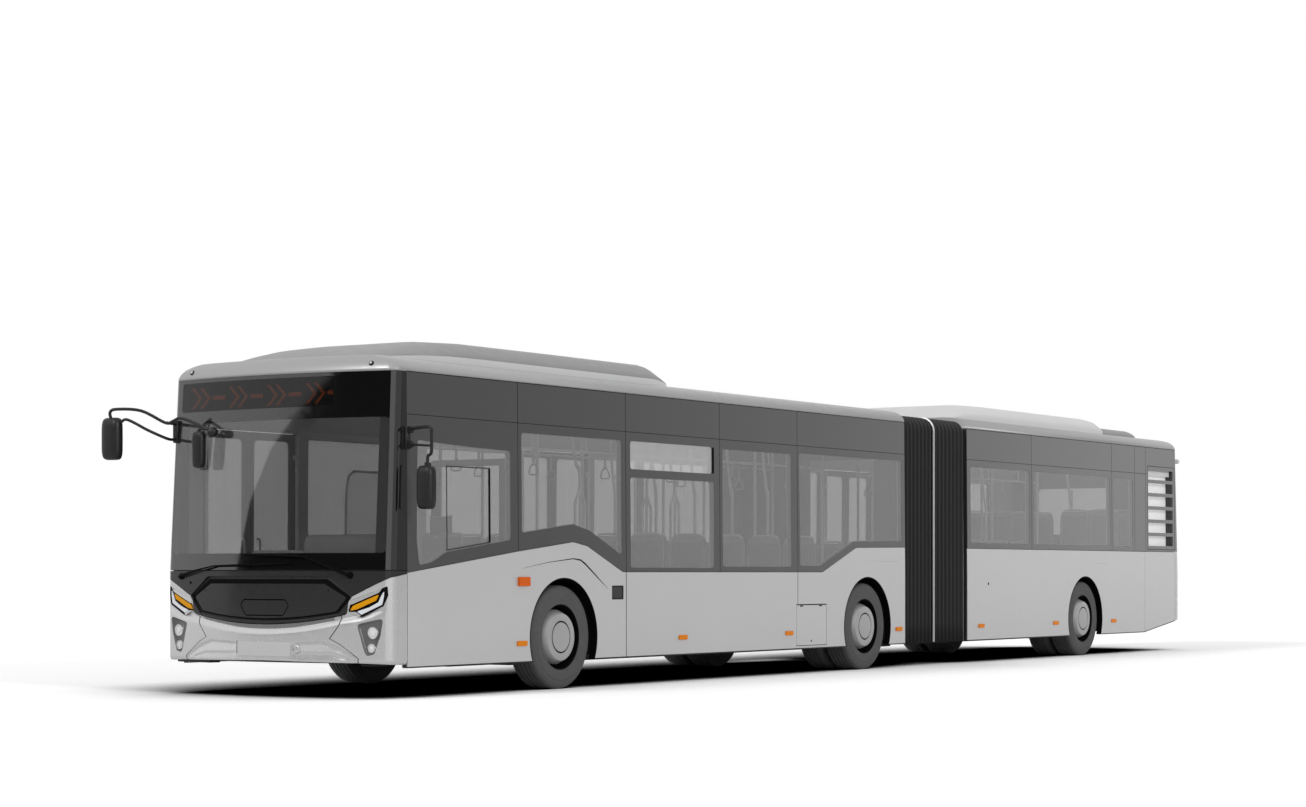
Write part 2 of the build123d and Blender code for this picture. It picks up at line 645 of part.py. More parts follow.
for name, start, end in (("front", FRONT_END, RING[0] - 6), ("rear", RING[1] + 6, REAR_START)):
    bend_z = BELLOWS_TOP - BELLOWS_CORNER
    bend_x = BELLOWS_X - BELLOWS_CORNER
    with BuildPart() as bellows:
        for side in (1, -1):
            leg = pleated(start, end, lambda y, depth: (side * (BELLOWS_X + depth), y))
            plan_prism(leg, (270, bend_z))
            with BuildSketch(Plane.XY.offset(bend_z)) as fold:
                with BuildLine():
                    Polyline(*leg, close=True)
                make_face()
            revolve(fold.sketch, Axis((side * bend_x, 0, bend_z), (0, -side, 0)), 90)
        crown = pleated(start, end, lambda y, depth: (y, BELLOWS_TOP + depth))
        side_prism(crown, (-bend_x, bend_x))
    save(bellows, f"bellows_{name}")

# ---------------------------------------------------------------- rear section

PODIUM_Z = 820
PODIUM_START = 12540

with BuildPart() as rear_underframe:
    block((-1215, 1215), (REAR_START, PODIUM_START), (FLOOR_LOW, FLOOR_Z))
    wheel_wells(["rear"])
    for side in (1, -1):
        rail = sorted((side * 400, side * 470))
        block(rail, (REAR_START, 11765), (210, FLOOR_LOW))
        block(rail, (11965, 12700), (210, FLOOR_LOW))
        block(sorted((side * 600, side * 640)), (PODIUM_START, TAIL_SEAM), (400, PODIUM_Z - 40))
    block((-1215, 1215), (PODIUM_START - 40, PODIUM_START), (FLOOR_LOW, PODIUM_Z))
    block((-1215, 1215), (PODIUM_START - 40, TAIL_SEAM), (PODIUM_Z - 40, PODIUM_Z))
    # portal that the bellows is fixed to
    block((-1215, 1215), (REAR_START, REAR_START + 60), (FLOOR_Z, 2785))
    block((-900, 900), (REAR_START - 50, REAR_START + 100), (FLOOR_Z, 2450), Mode.SUBTRACT)
    # shaft for the cooling air in the left rear corner
    block((800, 830), (13900, TAIL_SEAM), (PODIUM_Z, 2785))
    block((800, 1215), (13870, 13900), (PODIUM_Z, 2785))
save(rear_underframe, "rear_underframe")

grille_outline = rectangle(*GRILLE)
TAIL_RISE = [(13840, 200), (15000, 200), (15000, 404), (13840, SKIRT_Z)]
with BuildPart() as rear_left_wall:
    windows = [rectangle(span, WINDOW_Z) for span in REAR_WINDOWS] + [grille_outline]
    rear_left_band = side_wall(1, (REAR_START, TAIL_SEAM), rear_belt, windows, (AXLES["rear"],))
    side_prism(TAIL_RISE, (1200, 1300), Mode.SUBTRACT)
save(rear_left_wall, "rear_left_wall")

with BuildPart() as rear_right_wall:
    windows = [rectangle(span, WINDOW_Z) for span in RIGHT_WINDOWS_REAR]
    rear_right_band = side_wall(-1, (REAR_START, TAIL_SEAM), rear_belt, windows, (AXLES["rear"],))
    side_prism(TAIL_RISE, (-1300, -1200), Mode.SUBTRACT)
    doorway_cut(DOORWAYS["third"])
save(rear_right_wall, "rear_right_wall")

TAIL_ROOF = [(GUTTER_Z, TAIL_TOP, GUTTER_X), (2835, 15117, 1240), (2880, 15113, 1195), (ROOF_Z, 15100, 1000)]
with BuildPart() as rear_roof:
    end_loft(TAIL_ROOF, 0, TAIL_KIND)
    end_loft([(GUTTER_Z, TAIL_TOP, GUTTER_X), (2850, 15116, 1190)], 50, TAIL_KIND, Mode.SUBTRACT)
    end_prism(both(ROOF_EDGE) + both(ROOF_INSIDE)[::-1], (REAR_START, TAIL_SEAM))
save(rear_roof, "rear_roof")

TAIL_LAMP = [(930, 700), (1060, 700), (1060, 1300), (930, 1300)]
lid_x, lid_z = ENGINE_LID
with BuildPart() as rear_end:
    end_shell(TAIL_LOW, 0, 50, TAIL_KIND)
    with BuildPart(mode=Mode.PRIVATE) as upper:
        end_shell(TAIL_HIGH, 0, 50, TAIL_KIND)
    add(upper.part)
    low, high = lid_z[0] - LID_GAP, lid_z[1] + 2 * LID_GAP
    half = lid_x[1] + LID_GAP
    hole = [(-half, low), (half, low), (half, high), (-half, high)]
    end_prism(hole, (15000, 15300), Mode.SUBTRACT)
    end_prism([(-900, 1600), (500, 1600), (500, 2300), (-900, 2300)], (15000, 15300), Mode.SUBTRACT)
    for side in (1, -1):
        end_prism(mirrored(TAIL_LAMP, side), (15100, 15300), Mode.SUBTRACT)
    rod((TOW_X, 15100, TOW_REAR_Z), (TOW_X, 15300, TOW_REAR_Z), TOW_BOSS + 3, Mode.SUBTRACT)
    rod((TOW_X, TOW_REAR, TOW_REAR_Z), (TOW_X, TOW_REAR - 80, TOW_REAR_Z), TOW_BOSS)
    rod((TOW_X, 15142, TOW_REAR_Z), (TOW_X, 15090, TOW_REAR_Z), 60)
    rod((TOW_X, TOW_REAR, TOW_REAR_Z), (TOW_X, TOW_REAR - TOW_DEPTH, TOW_REAR_Z), TOW_RADIUS, Mode.SUBTRACT)
save(rear_end, "rear_end")

with BuildPart() as engine_lid:
    end_shell(TAIL_LOW, 0, 30, TAIL_KIND)
    end_shell(TAIL_HIGH, 0, 30, TAIL_KIND)
    lid = [(lid_x[0], lid_z[0]), (lid_x[1], lid_z[0]), (lid_x[1], lid_z[1]), (lid_x[0], lid_z[1])]
    end_prism(lid, (15000, 15300), Mode.INTERSECT)
    rod((-300, TAIL - 9, lid_z[1] + 2), (300, TAIL - 9, lid_z[1] + 2), 6)
save(engine_lid, "engine_lid")

with BuildPart() as rear_glass:
    add(rear_left_band)
    add(rear_right_band)
    for side in (1, -1):
        for station in SEAM_STATIONS["rear"]:
            limits = sorted((side * 1200, side * 1300))
            block(limits, (station - SEAM / 2, station + SEAM / 2), (1000, 2784), Mode.SUBTRACT)
    side_prism(grille_outline, (1200, 1300), Mode.SUBTRACT)
    doorway_cut(DOORWAYS["third"])
    with BuildPart(mode=Mode.PRIVATE) as pane:
        end_shell(TAIL_HIGH, 10, 10 + PANE, TAIL_KIND)
        end_prism([(-898, 1602), (498, 1602), (498, 2298), (-898, 2298)], (15000, 15300), Mode.INTERSECT)
    add(pane.part)
save(rear_glass, "rear_glass")

with BuildPart() as radiator_grille:
    (y_low, y_high), (z_low, z_high) = GRILLE
    block((1225, 1255), (y_low, y_high), (z_low, z_high))
    slot = (z_high - z_low) / 6
    for row in range(6):
        base = z_low + row * slot
        block((1200, 1300), (y_low + 40, y_high - 40), (base + 25, base + slot - 25), Mode.SUBTRACT)
        block((1200, 1212), (y_low + 40, y_high - 40), (base + 60, base + 72), Mode.ADD)
    block((1205, 1226), (y_low, y_low + 40), (z_low, z_high))
    block((1205, 1226), (y_high - 40, y_high), (z_low, z_high))
save(radiator_grille, "radiator_grille")

with BuildPart() as rear_lamps:
    for side in (1, -1):
        with BuildPart(mode=Mode.PRIVATE) as lamp:
            end_shell(TAIL_LOW + [TAIL_HIGH[1]], 4, 40, TAIL_KIND)
            end_prism(mirrored(TAIL_LAMP, side), (15100, 15300), Mode.INTERSECT)
        add(lamp.part)
    for station in (8770, 10930, 12780):
        block((1275, 1283), (station - 80, station + 80), (410, 460))
        block((-1283, -1275), (station - 80, station + 80), (410, 460))
save(rear_lamps, "rear_lamps")

with BuildPart() as rear_roof_units:
    end_prism(both([(950, ROOF_Z), (950, 3030), (850, 3150)]), (8600, 13300))
    side_prism([(8500, 2960), (9000, 3200), (8500, 3200)], (-1000, 1000), Mode.SUBTRACT)
    end_prism(both([(850, ROOF_Z), (850, 3000), (800, 3050)]), (13400, 14600))
save(rear_roof_units, "rear_roof_units")

LEFT_SEATS_REAR = (8980, 9740, 10500)
RIGHT_SEATS_REAR = (9100, 11160)
PODIUM_SEATS = ((SEAT_LEFT, 13100), (SEAT_LEFT, 13780), (SEAT_RIGHT, 13100),
                (SEAT_RIGHT, 13780), (SEAT_RIGHT, 14460))

with BuildPart() as rear_seats:
    for station in LEFT_SEATS_REAR:
        seat(SEAT_LEFT, station, FLOOR_Z)
    for station in RIGHT_SEATS_REAR:
        seat(SEAT_RIGHT, station, FLOOR_Z)
    for place, station in PODIUM_SEATS:
        seat(place, station, PODIUM_Z)
save(rear_seats, "rear_seats")

with BuildPart() as rear_handrails:
    handrails((8640, 9260, 10740, 12440), 2270, (8640, 12440))
save(rear_handrails, "rear_handrails")

with BuildPart() as engine_block:
    block((-600, 600), (13000, 14700), (430, 760))
save(engine_block, "engine_block")
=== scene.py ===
from itertools import product
from math import acos, asin, atan2, cos, pi, radians, sin, sqrt

import bmesh
import bpy
from mathutils import Matrix, Vector
from mathutils.geometry import tessellate_polygon


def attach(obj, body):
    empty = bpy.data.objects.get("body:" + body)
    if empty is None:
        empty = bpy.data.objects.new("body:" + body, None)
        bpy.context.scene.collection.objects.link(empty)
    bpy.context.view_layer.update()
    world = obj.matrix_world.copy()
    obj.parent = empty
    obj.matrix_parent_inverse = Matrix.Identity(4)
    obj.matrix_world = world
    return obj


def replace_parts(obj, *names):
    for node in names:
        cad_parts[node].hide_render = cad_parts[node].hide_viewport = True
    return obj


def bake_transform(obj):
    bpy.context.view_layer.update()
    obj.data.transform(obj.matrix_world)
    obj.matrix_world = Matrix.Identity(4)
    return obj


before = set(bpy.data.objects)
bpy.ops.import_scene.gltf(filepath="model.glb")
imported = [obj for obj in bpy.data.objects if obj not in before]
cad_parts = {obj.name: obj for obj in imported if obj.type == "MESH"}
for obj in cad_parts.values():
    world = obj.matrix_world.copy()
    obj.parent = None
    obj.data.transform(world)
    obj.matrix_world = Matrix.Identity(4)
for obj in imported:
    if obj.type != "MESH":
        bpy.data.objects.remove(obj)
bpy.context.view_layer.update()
scene = bpy.context.scene

# Metres. A station is a distance behind the front axle; at() turns it into the frame's Y.
SHIFT = -6.045
FRONT_END, REAR_START, PIVOT = 6.80, 8.40, 7.575
NOSE_SEAM, TAIL_SEAM, TAIL_RISE = -2.33, 14.95, 13.84
SKIRT, FLANK, GUTTER = 0.262, 1.07, 2.785
HALF, GUTTER_HALF = 1.275, 1.262
AXLE_Z, ARCH = 0.4785, 0.545
FLOOR, PODIUM = 0.36, 0.82
FRONT, REAR = "front_section", "rear_section"
SECTIONS = {"front": FRONT, "rear": REAR}
WAYS = (("left", 1), ("right", -1))


def at(station):
    return station + SHIFT


# ------------------------------------------------------------------ materials


def add_node(tree, kind, inputs, **settings):
    """A shader node: an input that is given an output is linked, any other is set."""
    node = tree.nodes.new("ShaderNode" + kind)
    for key, value in settings.items():
        setattr(node, key, value)
    for key, value in inputs.items():
        if isinstance(value, bpy.types.NodeSocket):
            tree.links.new(value, node.inputs[key])
        else:
            node.inputs[key].default_value = value
    return node


def ramp(tree, value, *limits, **settings):
    """Maps a value from one span to another: from low, from high, to low, to high."""
    inputs = dict(zip(("From Min", "From Max", "To Min", "To Max"), limits), Value=value)
    return add_node(tree, "MapRange", inputs, **settings).outputs["Result"]


class Paint:
    """A procedural material: even colour with fine variation, worn roughness and relief.

    A colour given as one number is a grey. The slot is the one that its pieces usually fill."""

    def __init__(self, name, slot, colour, rough=0.5, metal=0.0, alpha=1.0):
        self.material, self.slot, self.rough = bpy.data.materials.new(name), slot, rough
        self.material.use_nodes = True
        self.tree = self.material.node_tree
        self.shader = self.tree.nodes["Principled BSDF"]
        self.where = add_node(self.tree, "TexCoord", {}).outputs["Object"]
        self.colour = (colour, colour, colour * 1.005) if isinstance(colour, float) else colour
        self.set(Base_Color=(*self.colour, 1), Roughness=rough, Metallic=metal, Alpha=alpha)

    def set(self, **values):
        for key, value in values.items():
            self.shader.inputs[key.replace("_", " ")].default_value = value
        return self

    def link(self, output, key):
        self.tree.links.new(output, self.shader.inputs[key])
        return self

    def noise(self, scale, detail=3.0, stretch=None):
        where = self.where
        if stretch:
            where = add_node(self.tree, "Mapping", {"Scale": stretch, "Vector": where}).outputs["Vector"]
        inputs = {"Scale": scale, "Detail": detail, "Vector": where}
        return add_node(self.tree, "TexNoise", inputs).outputs["Fac"]

    def vary(self, amount=0.05, scale=3.0, stretch=None):
        """Soft patches of lighter and darker colour."""
        dark, light = [(*[min(1, c * k) for c in self.colour], 1) for k in (1 - amount, 1 + amount)]
        inputs = {"A": dark, "B": light, "Factor": self.noise(scale, 4, stretch)}
        return self.link(add_node(self.tree, "Mix", inputs, data_type="RGBA").outputs["Result"], "Base Color")

    def wear(self, amount=0.08, scale=30.0):
        """Roughness that wanders a little, as on handled surfaces."""
        low, high = max(0.02, self.rough - amount), min(1, self.rough + amount)
        return self.link(ramp(self.tree, self.noise(scale), 0.3, 0.7, low, high), "Roughness")

    def glow(self, strength, *colour, **more):
        return self.set(Emission_Color=(*colour, 1), Emission_Strength=strength, **more)

    def relief(self, height, strength, distance):
        inputs = {"Strength": strength, "Distance": distance, "Height": height}
        return self.link(add_node(self.tree, "Bump", inputs).outputs["Normal"], "Normal")

    def grain(self, scale, strength, distance=0.0006):
        return self.relief(self.noise(scale, 2), strength, distance)

    def waves(self, scale, axis, strength, distance):
        inputs = {"Scale": scale, "Vector": self.where}
        wave = add_node(self.tree, "TexWave", inputs, bands_direction=axis)
        return self.relief(wave.outputs["Fac"], strength, distance)


SILVER = Paint("silver_paint", "silver_paint", 0.60, 0.36, 0.30).vary(0.025, 0.8).wear(0.04, 12)
SILVER.set(Coat_Weight=0.3, Coat_Roughness=0.10)
BAND = Paint("band_print", "tinted_glass", 0.066, 0.10).vary(0.04, 1.0).wear(0.03, 9).set(IOR=1.75)
BLACK = Paint("print_gloss_black", "tinted_glass", 0.006, 0.06).vary(0.1, 1.5).wear(0.02, 14).set(IOR=1.8)
MASK = Paint("mask_gloss_black", "black_mask", 0.028, 0.14).vary(0.1, 1.5).wear(0.03, 14)
MASK.set(Specular_IOR_Level=0.3)
PLASTIC = Paint("dark_plastic", "dark_plastic", 0.011, 0.38).vary(0.12, 6).wear(0.06, 40)
PLASTIC.grain(500, 0.12, 0.0004).set(Specular_IOR_Level=0.35)
SEAL = Paint("rubber_seal", "dark_plastic", 0.012, 0.7).vary(0.2, 20).grain(500, 0.2)
STEEL = Paint("frame_steel", "frame_steel", 0.045, 0.6, 0.2).vary(0.2, 5).wear(0.12, 18).grain(160, 0.4, 0.001)
# a darker copy of the silver: painted shade on the strip under the mask and in two creases on the skirt
SILVER_SHADE = Paint("silver_shade_strip", "silver_paint", 0.24, 0.34, 0.3).vary(0.03, 1.0).wear(0.04, 12)
# a dark copy of the silver: painted shade inside the fog lamps' recesses
RECESS_SHADE = Paint("recess_silver", "silver_paint", 0.13, 0.36, 0.2).vary(0.05, 4).wear(0.05, 20)
GRILLE_DARK = Paint("reveal_plastic", "dark_plastic", 0.045, 0.5).vary(0.1, 8)
MATT = Paint("matt_black", "dark_plastic", 0.003, 0.7).vary(0.2, 8).set(Specular_IOR_Level=0.05)
# a darker copy of the silver paint for the roofs: painted shade on their upward faces
ROOF_SHADED_SILVER = Paint("roof_shaded_silver", "silver_paint", 0.37, 0.36, 0.30).vary(0.025, 0.8).wear(0.04, 12)
NOSE_SILVER = Paint("nose_silver", "silver_paint", 0.585, 0.26, 0.45).vary(0.02, 0.8).wear(0.03, 12)
NOSE_SILVER.set(Coat_Weight=0.3, Coat_Roughness=0.06)
ROOFING = Paint("roof_plastic", "roof_plastic", 0.64, 0.45).vary(0.04, 1.2).wear(0.06, 10)
# a darker copy of the roof plastic: painted shade on the front pod's top and over the whole tail roof unit
ROOF_SHADE = Paint("roof_top_plastic", "roof_plastic", 0.29, 0.5).vary(0.04, 1.2).wear(0.06, 10)
ROOF_PALE = Paint("roof_pale_plastic", "roof_plastic", 0.66, 0.45).vary(0.04, 1.2).wear(0.06, 10)
TRIM = Paint("interior_trim", "dark_plastic", 0.55, 0.55).vary(0.05, 2)
CEILING = Paint("ceiling_panel", "roof_plastic", 0.75, 0.5).vary(0.04, 1.5)
FLOORING = Paint("floor_vinyl", "dark_plastic", 0.12, 0.55).vary(0.35, 120).grain(240, 0.2, 0.0005)
CLOTH = Paint("seat_fabric", "seat_fabric", (0.20, 0.205, 0.215), 0.9).vary(0.18, 90)
CLOTH.set(Sheen_Weight=0.3).waves(260, "DIAGONAL", 0.5, 0.0008)
SHELL = Paint("seat_shell", "seat_fabric", 0.42, 0.4).vary(0.04, 6).wear(0.08, 30).grain(600, 0.15)
RAIL = Paint("rail_steel", "rail_steel", 0.80, 0.3, 0.2).vary(0.04, 9).wear(0.06, 60)
BELLOWS = Paint("bellows_cloth", "bellows_cloth", 0.0065, 0.75).vary(0.15, 14, (1, 1, 0.2))
BELLOWS.set(Sheen_Weight=0.05).grain(1100, 0.5, 0.0008)
PIPING = Paint("bellows_piping", "bellows_cloth", 0.018, 0.6).vary(0.15, 14, (1, 1, 0.2)).grain(900, 0.4, 0.0008)
ALUMINIUM = Paint("ring_aluminium", "ring_aluminium", 0.75, 0.4, 0.4).vary(0.06, 12, (1, 1, 0.1)).wear(0.08, 60)
GEAR = Paint("running_gear", "running_gear", 0.03, 0.65, 0.3).vary(0.3, 9).wear(0.15, 25).grain(120, 0.4, 0.001)
TYRE = Paint("tyre_rubber", "tyre_rubber", 0.080, 0.78).vary(0.12, 14).wear(0.08, 30).grain(450, 0.35, 0.0009)
WHEEL = Paint("wheel_silver", "wheel_silver", 0.44, 0.38, 0.35).vary(0.04, 10).wear(0.05, 25)
FRAME = Paint("door_frame", "door_frame", 0.03, 0.4, 0.2).vary(0.1, 8).wear(0.06, 40).grain(500, 0.15)
ENGINE = Paint("engine_grey", "engine_grey", 0.09, 0.55, 0.4).vary(0.3, 12).wear(0.15, 30).grain(90, 0.5, 0.001)
AMBER = Paint("amber_lens", "lamp_lens", (0.66, 0.105, 0.001), 0.22).vary(0.08, 60).waves(300, "Z", 0.3, 0.0006)
AMBER.glow(0.05, 0.9, 0.15, 0.001, Specular_IOR_Level=0.1)
MARKER = Paint("marker_amber", "lamp_lens", (0.72, 0.20, 0.001), 0.25).vary(0.08, 60).waves(300, "Z", 0.3, 0.0006)
MARKER.glow(0.06, 0.9, 0.26, 0.001, Specular_IOR_Level=0.1)
INDICATOR = Paint("indicator_amber", "lamp_lens", (0.80, 0.34, 0.002), 0.35).vary(0.06, 50)
INDICATOR.waves(600, "Z", 0.3, 0.0008)
INDICATOR.glow(0.12, 0.90, 0.38, 0.003, Specular_IOR_Level=0.1)
DAYLIGHT = Paint("daylight_bar", "lamp_lens", (0.82, 0.84, 0.88), 0.25).vary(0.02, 60)
DAYLIGHT.glow(0.15, 0.8, 0.83, 0.9)
LIGHT_TUBE = Paint("ceiling_light", "lamp_lens", (0.85, 0.86, 0.88), 0.3).vary(0.02, 60)
LIGHT_TUBE.glow(1.5, 0.9, 0.92, 0.95)
# a pale panel that glows a little though it is no lamp: painted light at the back of the air grille
VENT_GLOW = Paint("vent_panel_glow", "silver_paint", 0.80, 0.55).vary(0.03, 4).wear(0.05, 20)
VENT_GLOW.glow(0.28, 0.8, 0.8, 0.8)
RED = Paint("red_lens", "rear_lens", (0.55, 0.012, 0.01), 0.18).vary(0.15, 60).waves(700, "Z", 0.4, 0.0008)
REVERSE = Paint("clear_lens", "lamp_lens", (0.75, 0.75, 0.76), 0.15).vary(0.05, 60).waves(700, "X", 0.4, 0.0008)
CHROME = Paint("lamp_reflector", "lamp_lens", 0.75, 0.12, 1.0).vary(0.05, 30).waves(260, "Z", 0.3, 0.001)
GLASS = Paint("window_glass", "tinted_glass", 0.36, 0.03, 0.0, 0.42).vary(0.05, 0.7).set(IOR=1.75)
# a lighter copy of the window glass: painted light on the short panes
HOPPER_GLASS_LIT = Paint("hopper_glass_lit", "tinted_glass", 0.72, 0.03, 0.0, 0.42).vary(0.05, 0.7).set(IOR=1.75)
SCREEN = Paint("windscreen_glass", "tinted_glass", 0.055, 0.03, 0.0, 0.46).vary(0.05, 0.7).set(IOR=2.35)
SMOKED = Paint("smoked_glass", "tinted_glass", 0.006, 0.04, 0.0, 0.72).vary(0.1, 0.7)
LENS = Paint("screen_sheet", "tinted_glass", 0.8, 0.03, 0.0, 0.16).vary(0.02, 4)
COVER = Paint("lamp_cover", "lamp_lens", 0.02, 0.03, 0.0, 0.07).vary(0.02, 4)
MIRROR = Paint("mirror_glass", "dark_plastic", 0.7, 0.03, 1.0).vary(0.02, 3).wear(0.01, 9)
PLATE = Paint("blank_plate", "silver_paint", 0.52, 0.4).vary(0.02, 10).grain(600, 0.1)
LED_OFF = Paint("sign_board", "dark_plastic", 0.02, 0.5).vary(0.2, 40).waves(34, "Z", 0.6, 0.003)
LED_ON = Paint("sign_led", "lamp_lens", (0.9, 0.16, 0.02), 0.4).vary(0.1, 80)
LED_ON.glow(1.1, 1.0, 0.20, 0.03)


# ------------------------------------------------------------------ outlines and lines


def mix(a, b, share):
    """The value or the point that lies a share of the way from a to b."""
    if isinstance(a, (int, float)):
        return a + (b - a) * share
    return tuple(p + (q - p) * share for p, q in zip(a, b))


def pane(s0, s1, z0, z1):
    return [(s0, z0), (s1, z0), (s1, z1), (s0, z1)]


def mirrored(points):
    """The closed outline's twin across the middle, running the same way round."""
    return [(-t, z) for t, z in points[::-1]]


def both(points):
    """A closed outline from its left half, which runs from bottom middle to top middle."""
    return points + [(-t, z) for t, z in reversed(points) if t > 1e-6]


def ring_points(centre, radius, steps=24):
    return [(centre[0] + radius * cos(2 * pi * n / steps), centre[1] + radius * sin(2 * pi * n / steps))
            for n in range(steps)]


def grid_cuts(low, high, step):
    count = max(1, round((high - low) / step))
    return [low + (high - low) * n / count for n in range(1, count)]


def height_on(line, t):
    """Height of a line of (t, z) points at t, or None past its ends."""
    for (t0, z0), (t1, z1) in zip(line, line[1:]):
        if t0 <= t <= t1:
            return z0 + (z1 - z0) * (t - t0) / (t1 - t0)
    return None


def rounded(points, radius, steps=5):
    """The outline with each corner turned into an arc; radius may be one per corner."""
    out = []
    count = len(points)
    for n, point in enumerate(points):
        r = radius[n] if isinstance(radius, (list, tuple)) else radius
        p = Vector(point)
        a, b = Vector(points[n - 1]) - p, Vector(points[(n + 1) % count]) - p
        straight = r <= 0 or a.length < 1e-9 or b.length < 1e-9
        angle = pi if straight else a.normalized().angle(b.normalized())
        if angle > pi - 0.02:
            out.append(tuple(p))
            continue
        reach = r / max(1e-6, abs(sin(angle / 2) / cos(angle / 2)))
        reach = min(reach, 0.45 * a.length, 0.45 * b.length)
        start, end = p + a.normalized() * reach, p + b.normalized() * reach
        for k in range(steps + 1):
            t = k / steps
            out.append(tuple((1 - t) ** 2 * start + 2 * t * (1 - t) * p + t * t * end))
    return out


def inset(points, amount):
    """The closed outline moved inwards, or outwards where amount is negative."""
    area = sum(a[0] * b[1] - b[0] * a[1] for a, b in zip(points, points[1:] + points[:1]))
    turn = 1 if area > 0 else -1
    out = []
    for n, point in enumerate(points):
        before, after = Vector(points[n - 1]), Vector(points[(n + 1) % len(points)])
        here = Vector(point)
        a, b = (here - before).normalized(), (after - here).normalized()
        normal = Vector((-(a.y + b.y), a.x + b.x)) * turn
        normal.normalize()
        reach = amount / max(0.4, normal.dot(Vector((-a.y, a.x)) * turn))
        out.append(tuple(here + normal * reach))
    return out


def curve_points(points, steps):
    """A smooth line through the points."""
    points = [Vector(p) for p in points]
    line = []
    ends = [2 * points[0] - points[1], *points, 2 * points[-1] - points[-2]]
    for a, b, c, d in zip(ends, ends[1:], ends[2:], ends[3:]):
        for n in range(steps):
            t = n / steps
            line.append(
                0.5 * (2 * b + (c - a) * t + (2 * a - 5 * b + 4 * c - d) * t * t
                       + (3 * b - a - 3 * c + d) * t ** 3)
            )
    return line + [points[-1]]


# ------------------------------------------------------------------ meshes


def outward(mesh, weld=0.0):
    """Joins points that lie within the weld distance and turns all faces outwards."""
    work = bmesh.new()
    work.from_mesh(mesh)
    if weld:
        bmesh.ops.remove_doubles(work, verts=work.verts, dist=weld)
    bmesh.ops.recalc_face_normals(work, faces=work.faces)
    work.to_mesh(mesh)
    work.free()


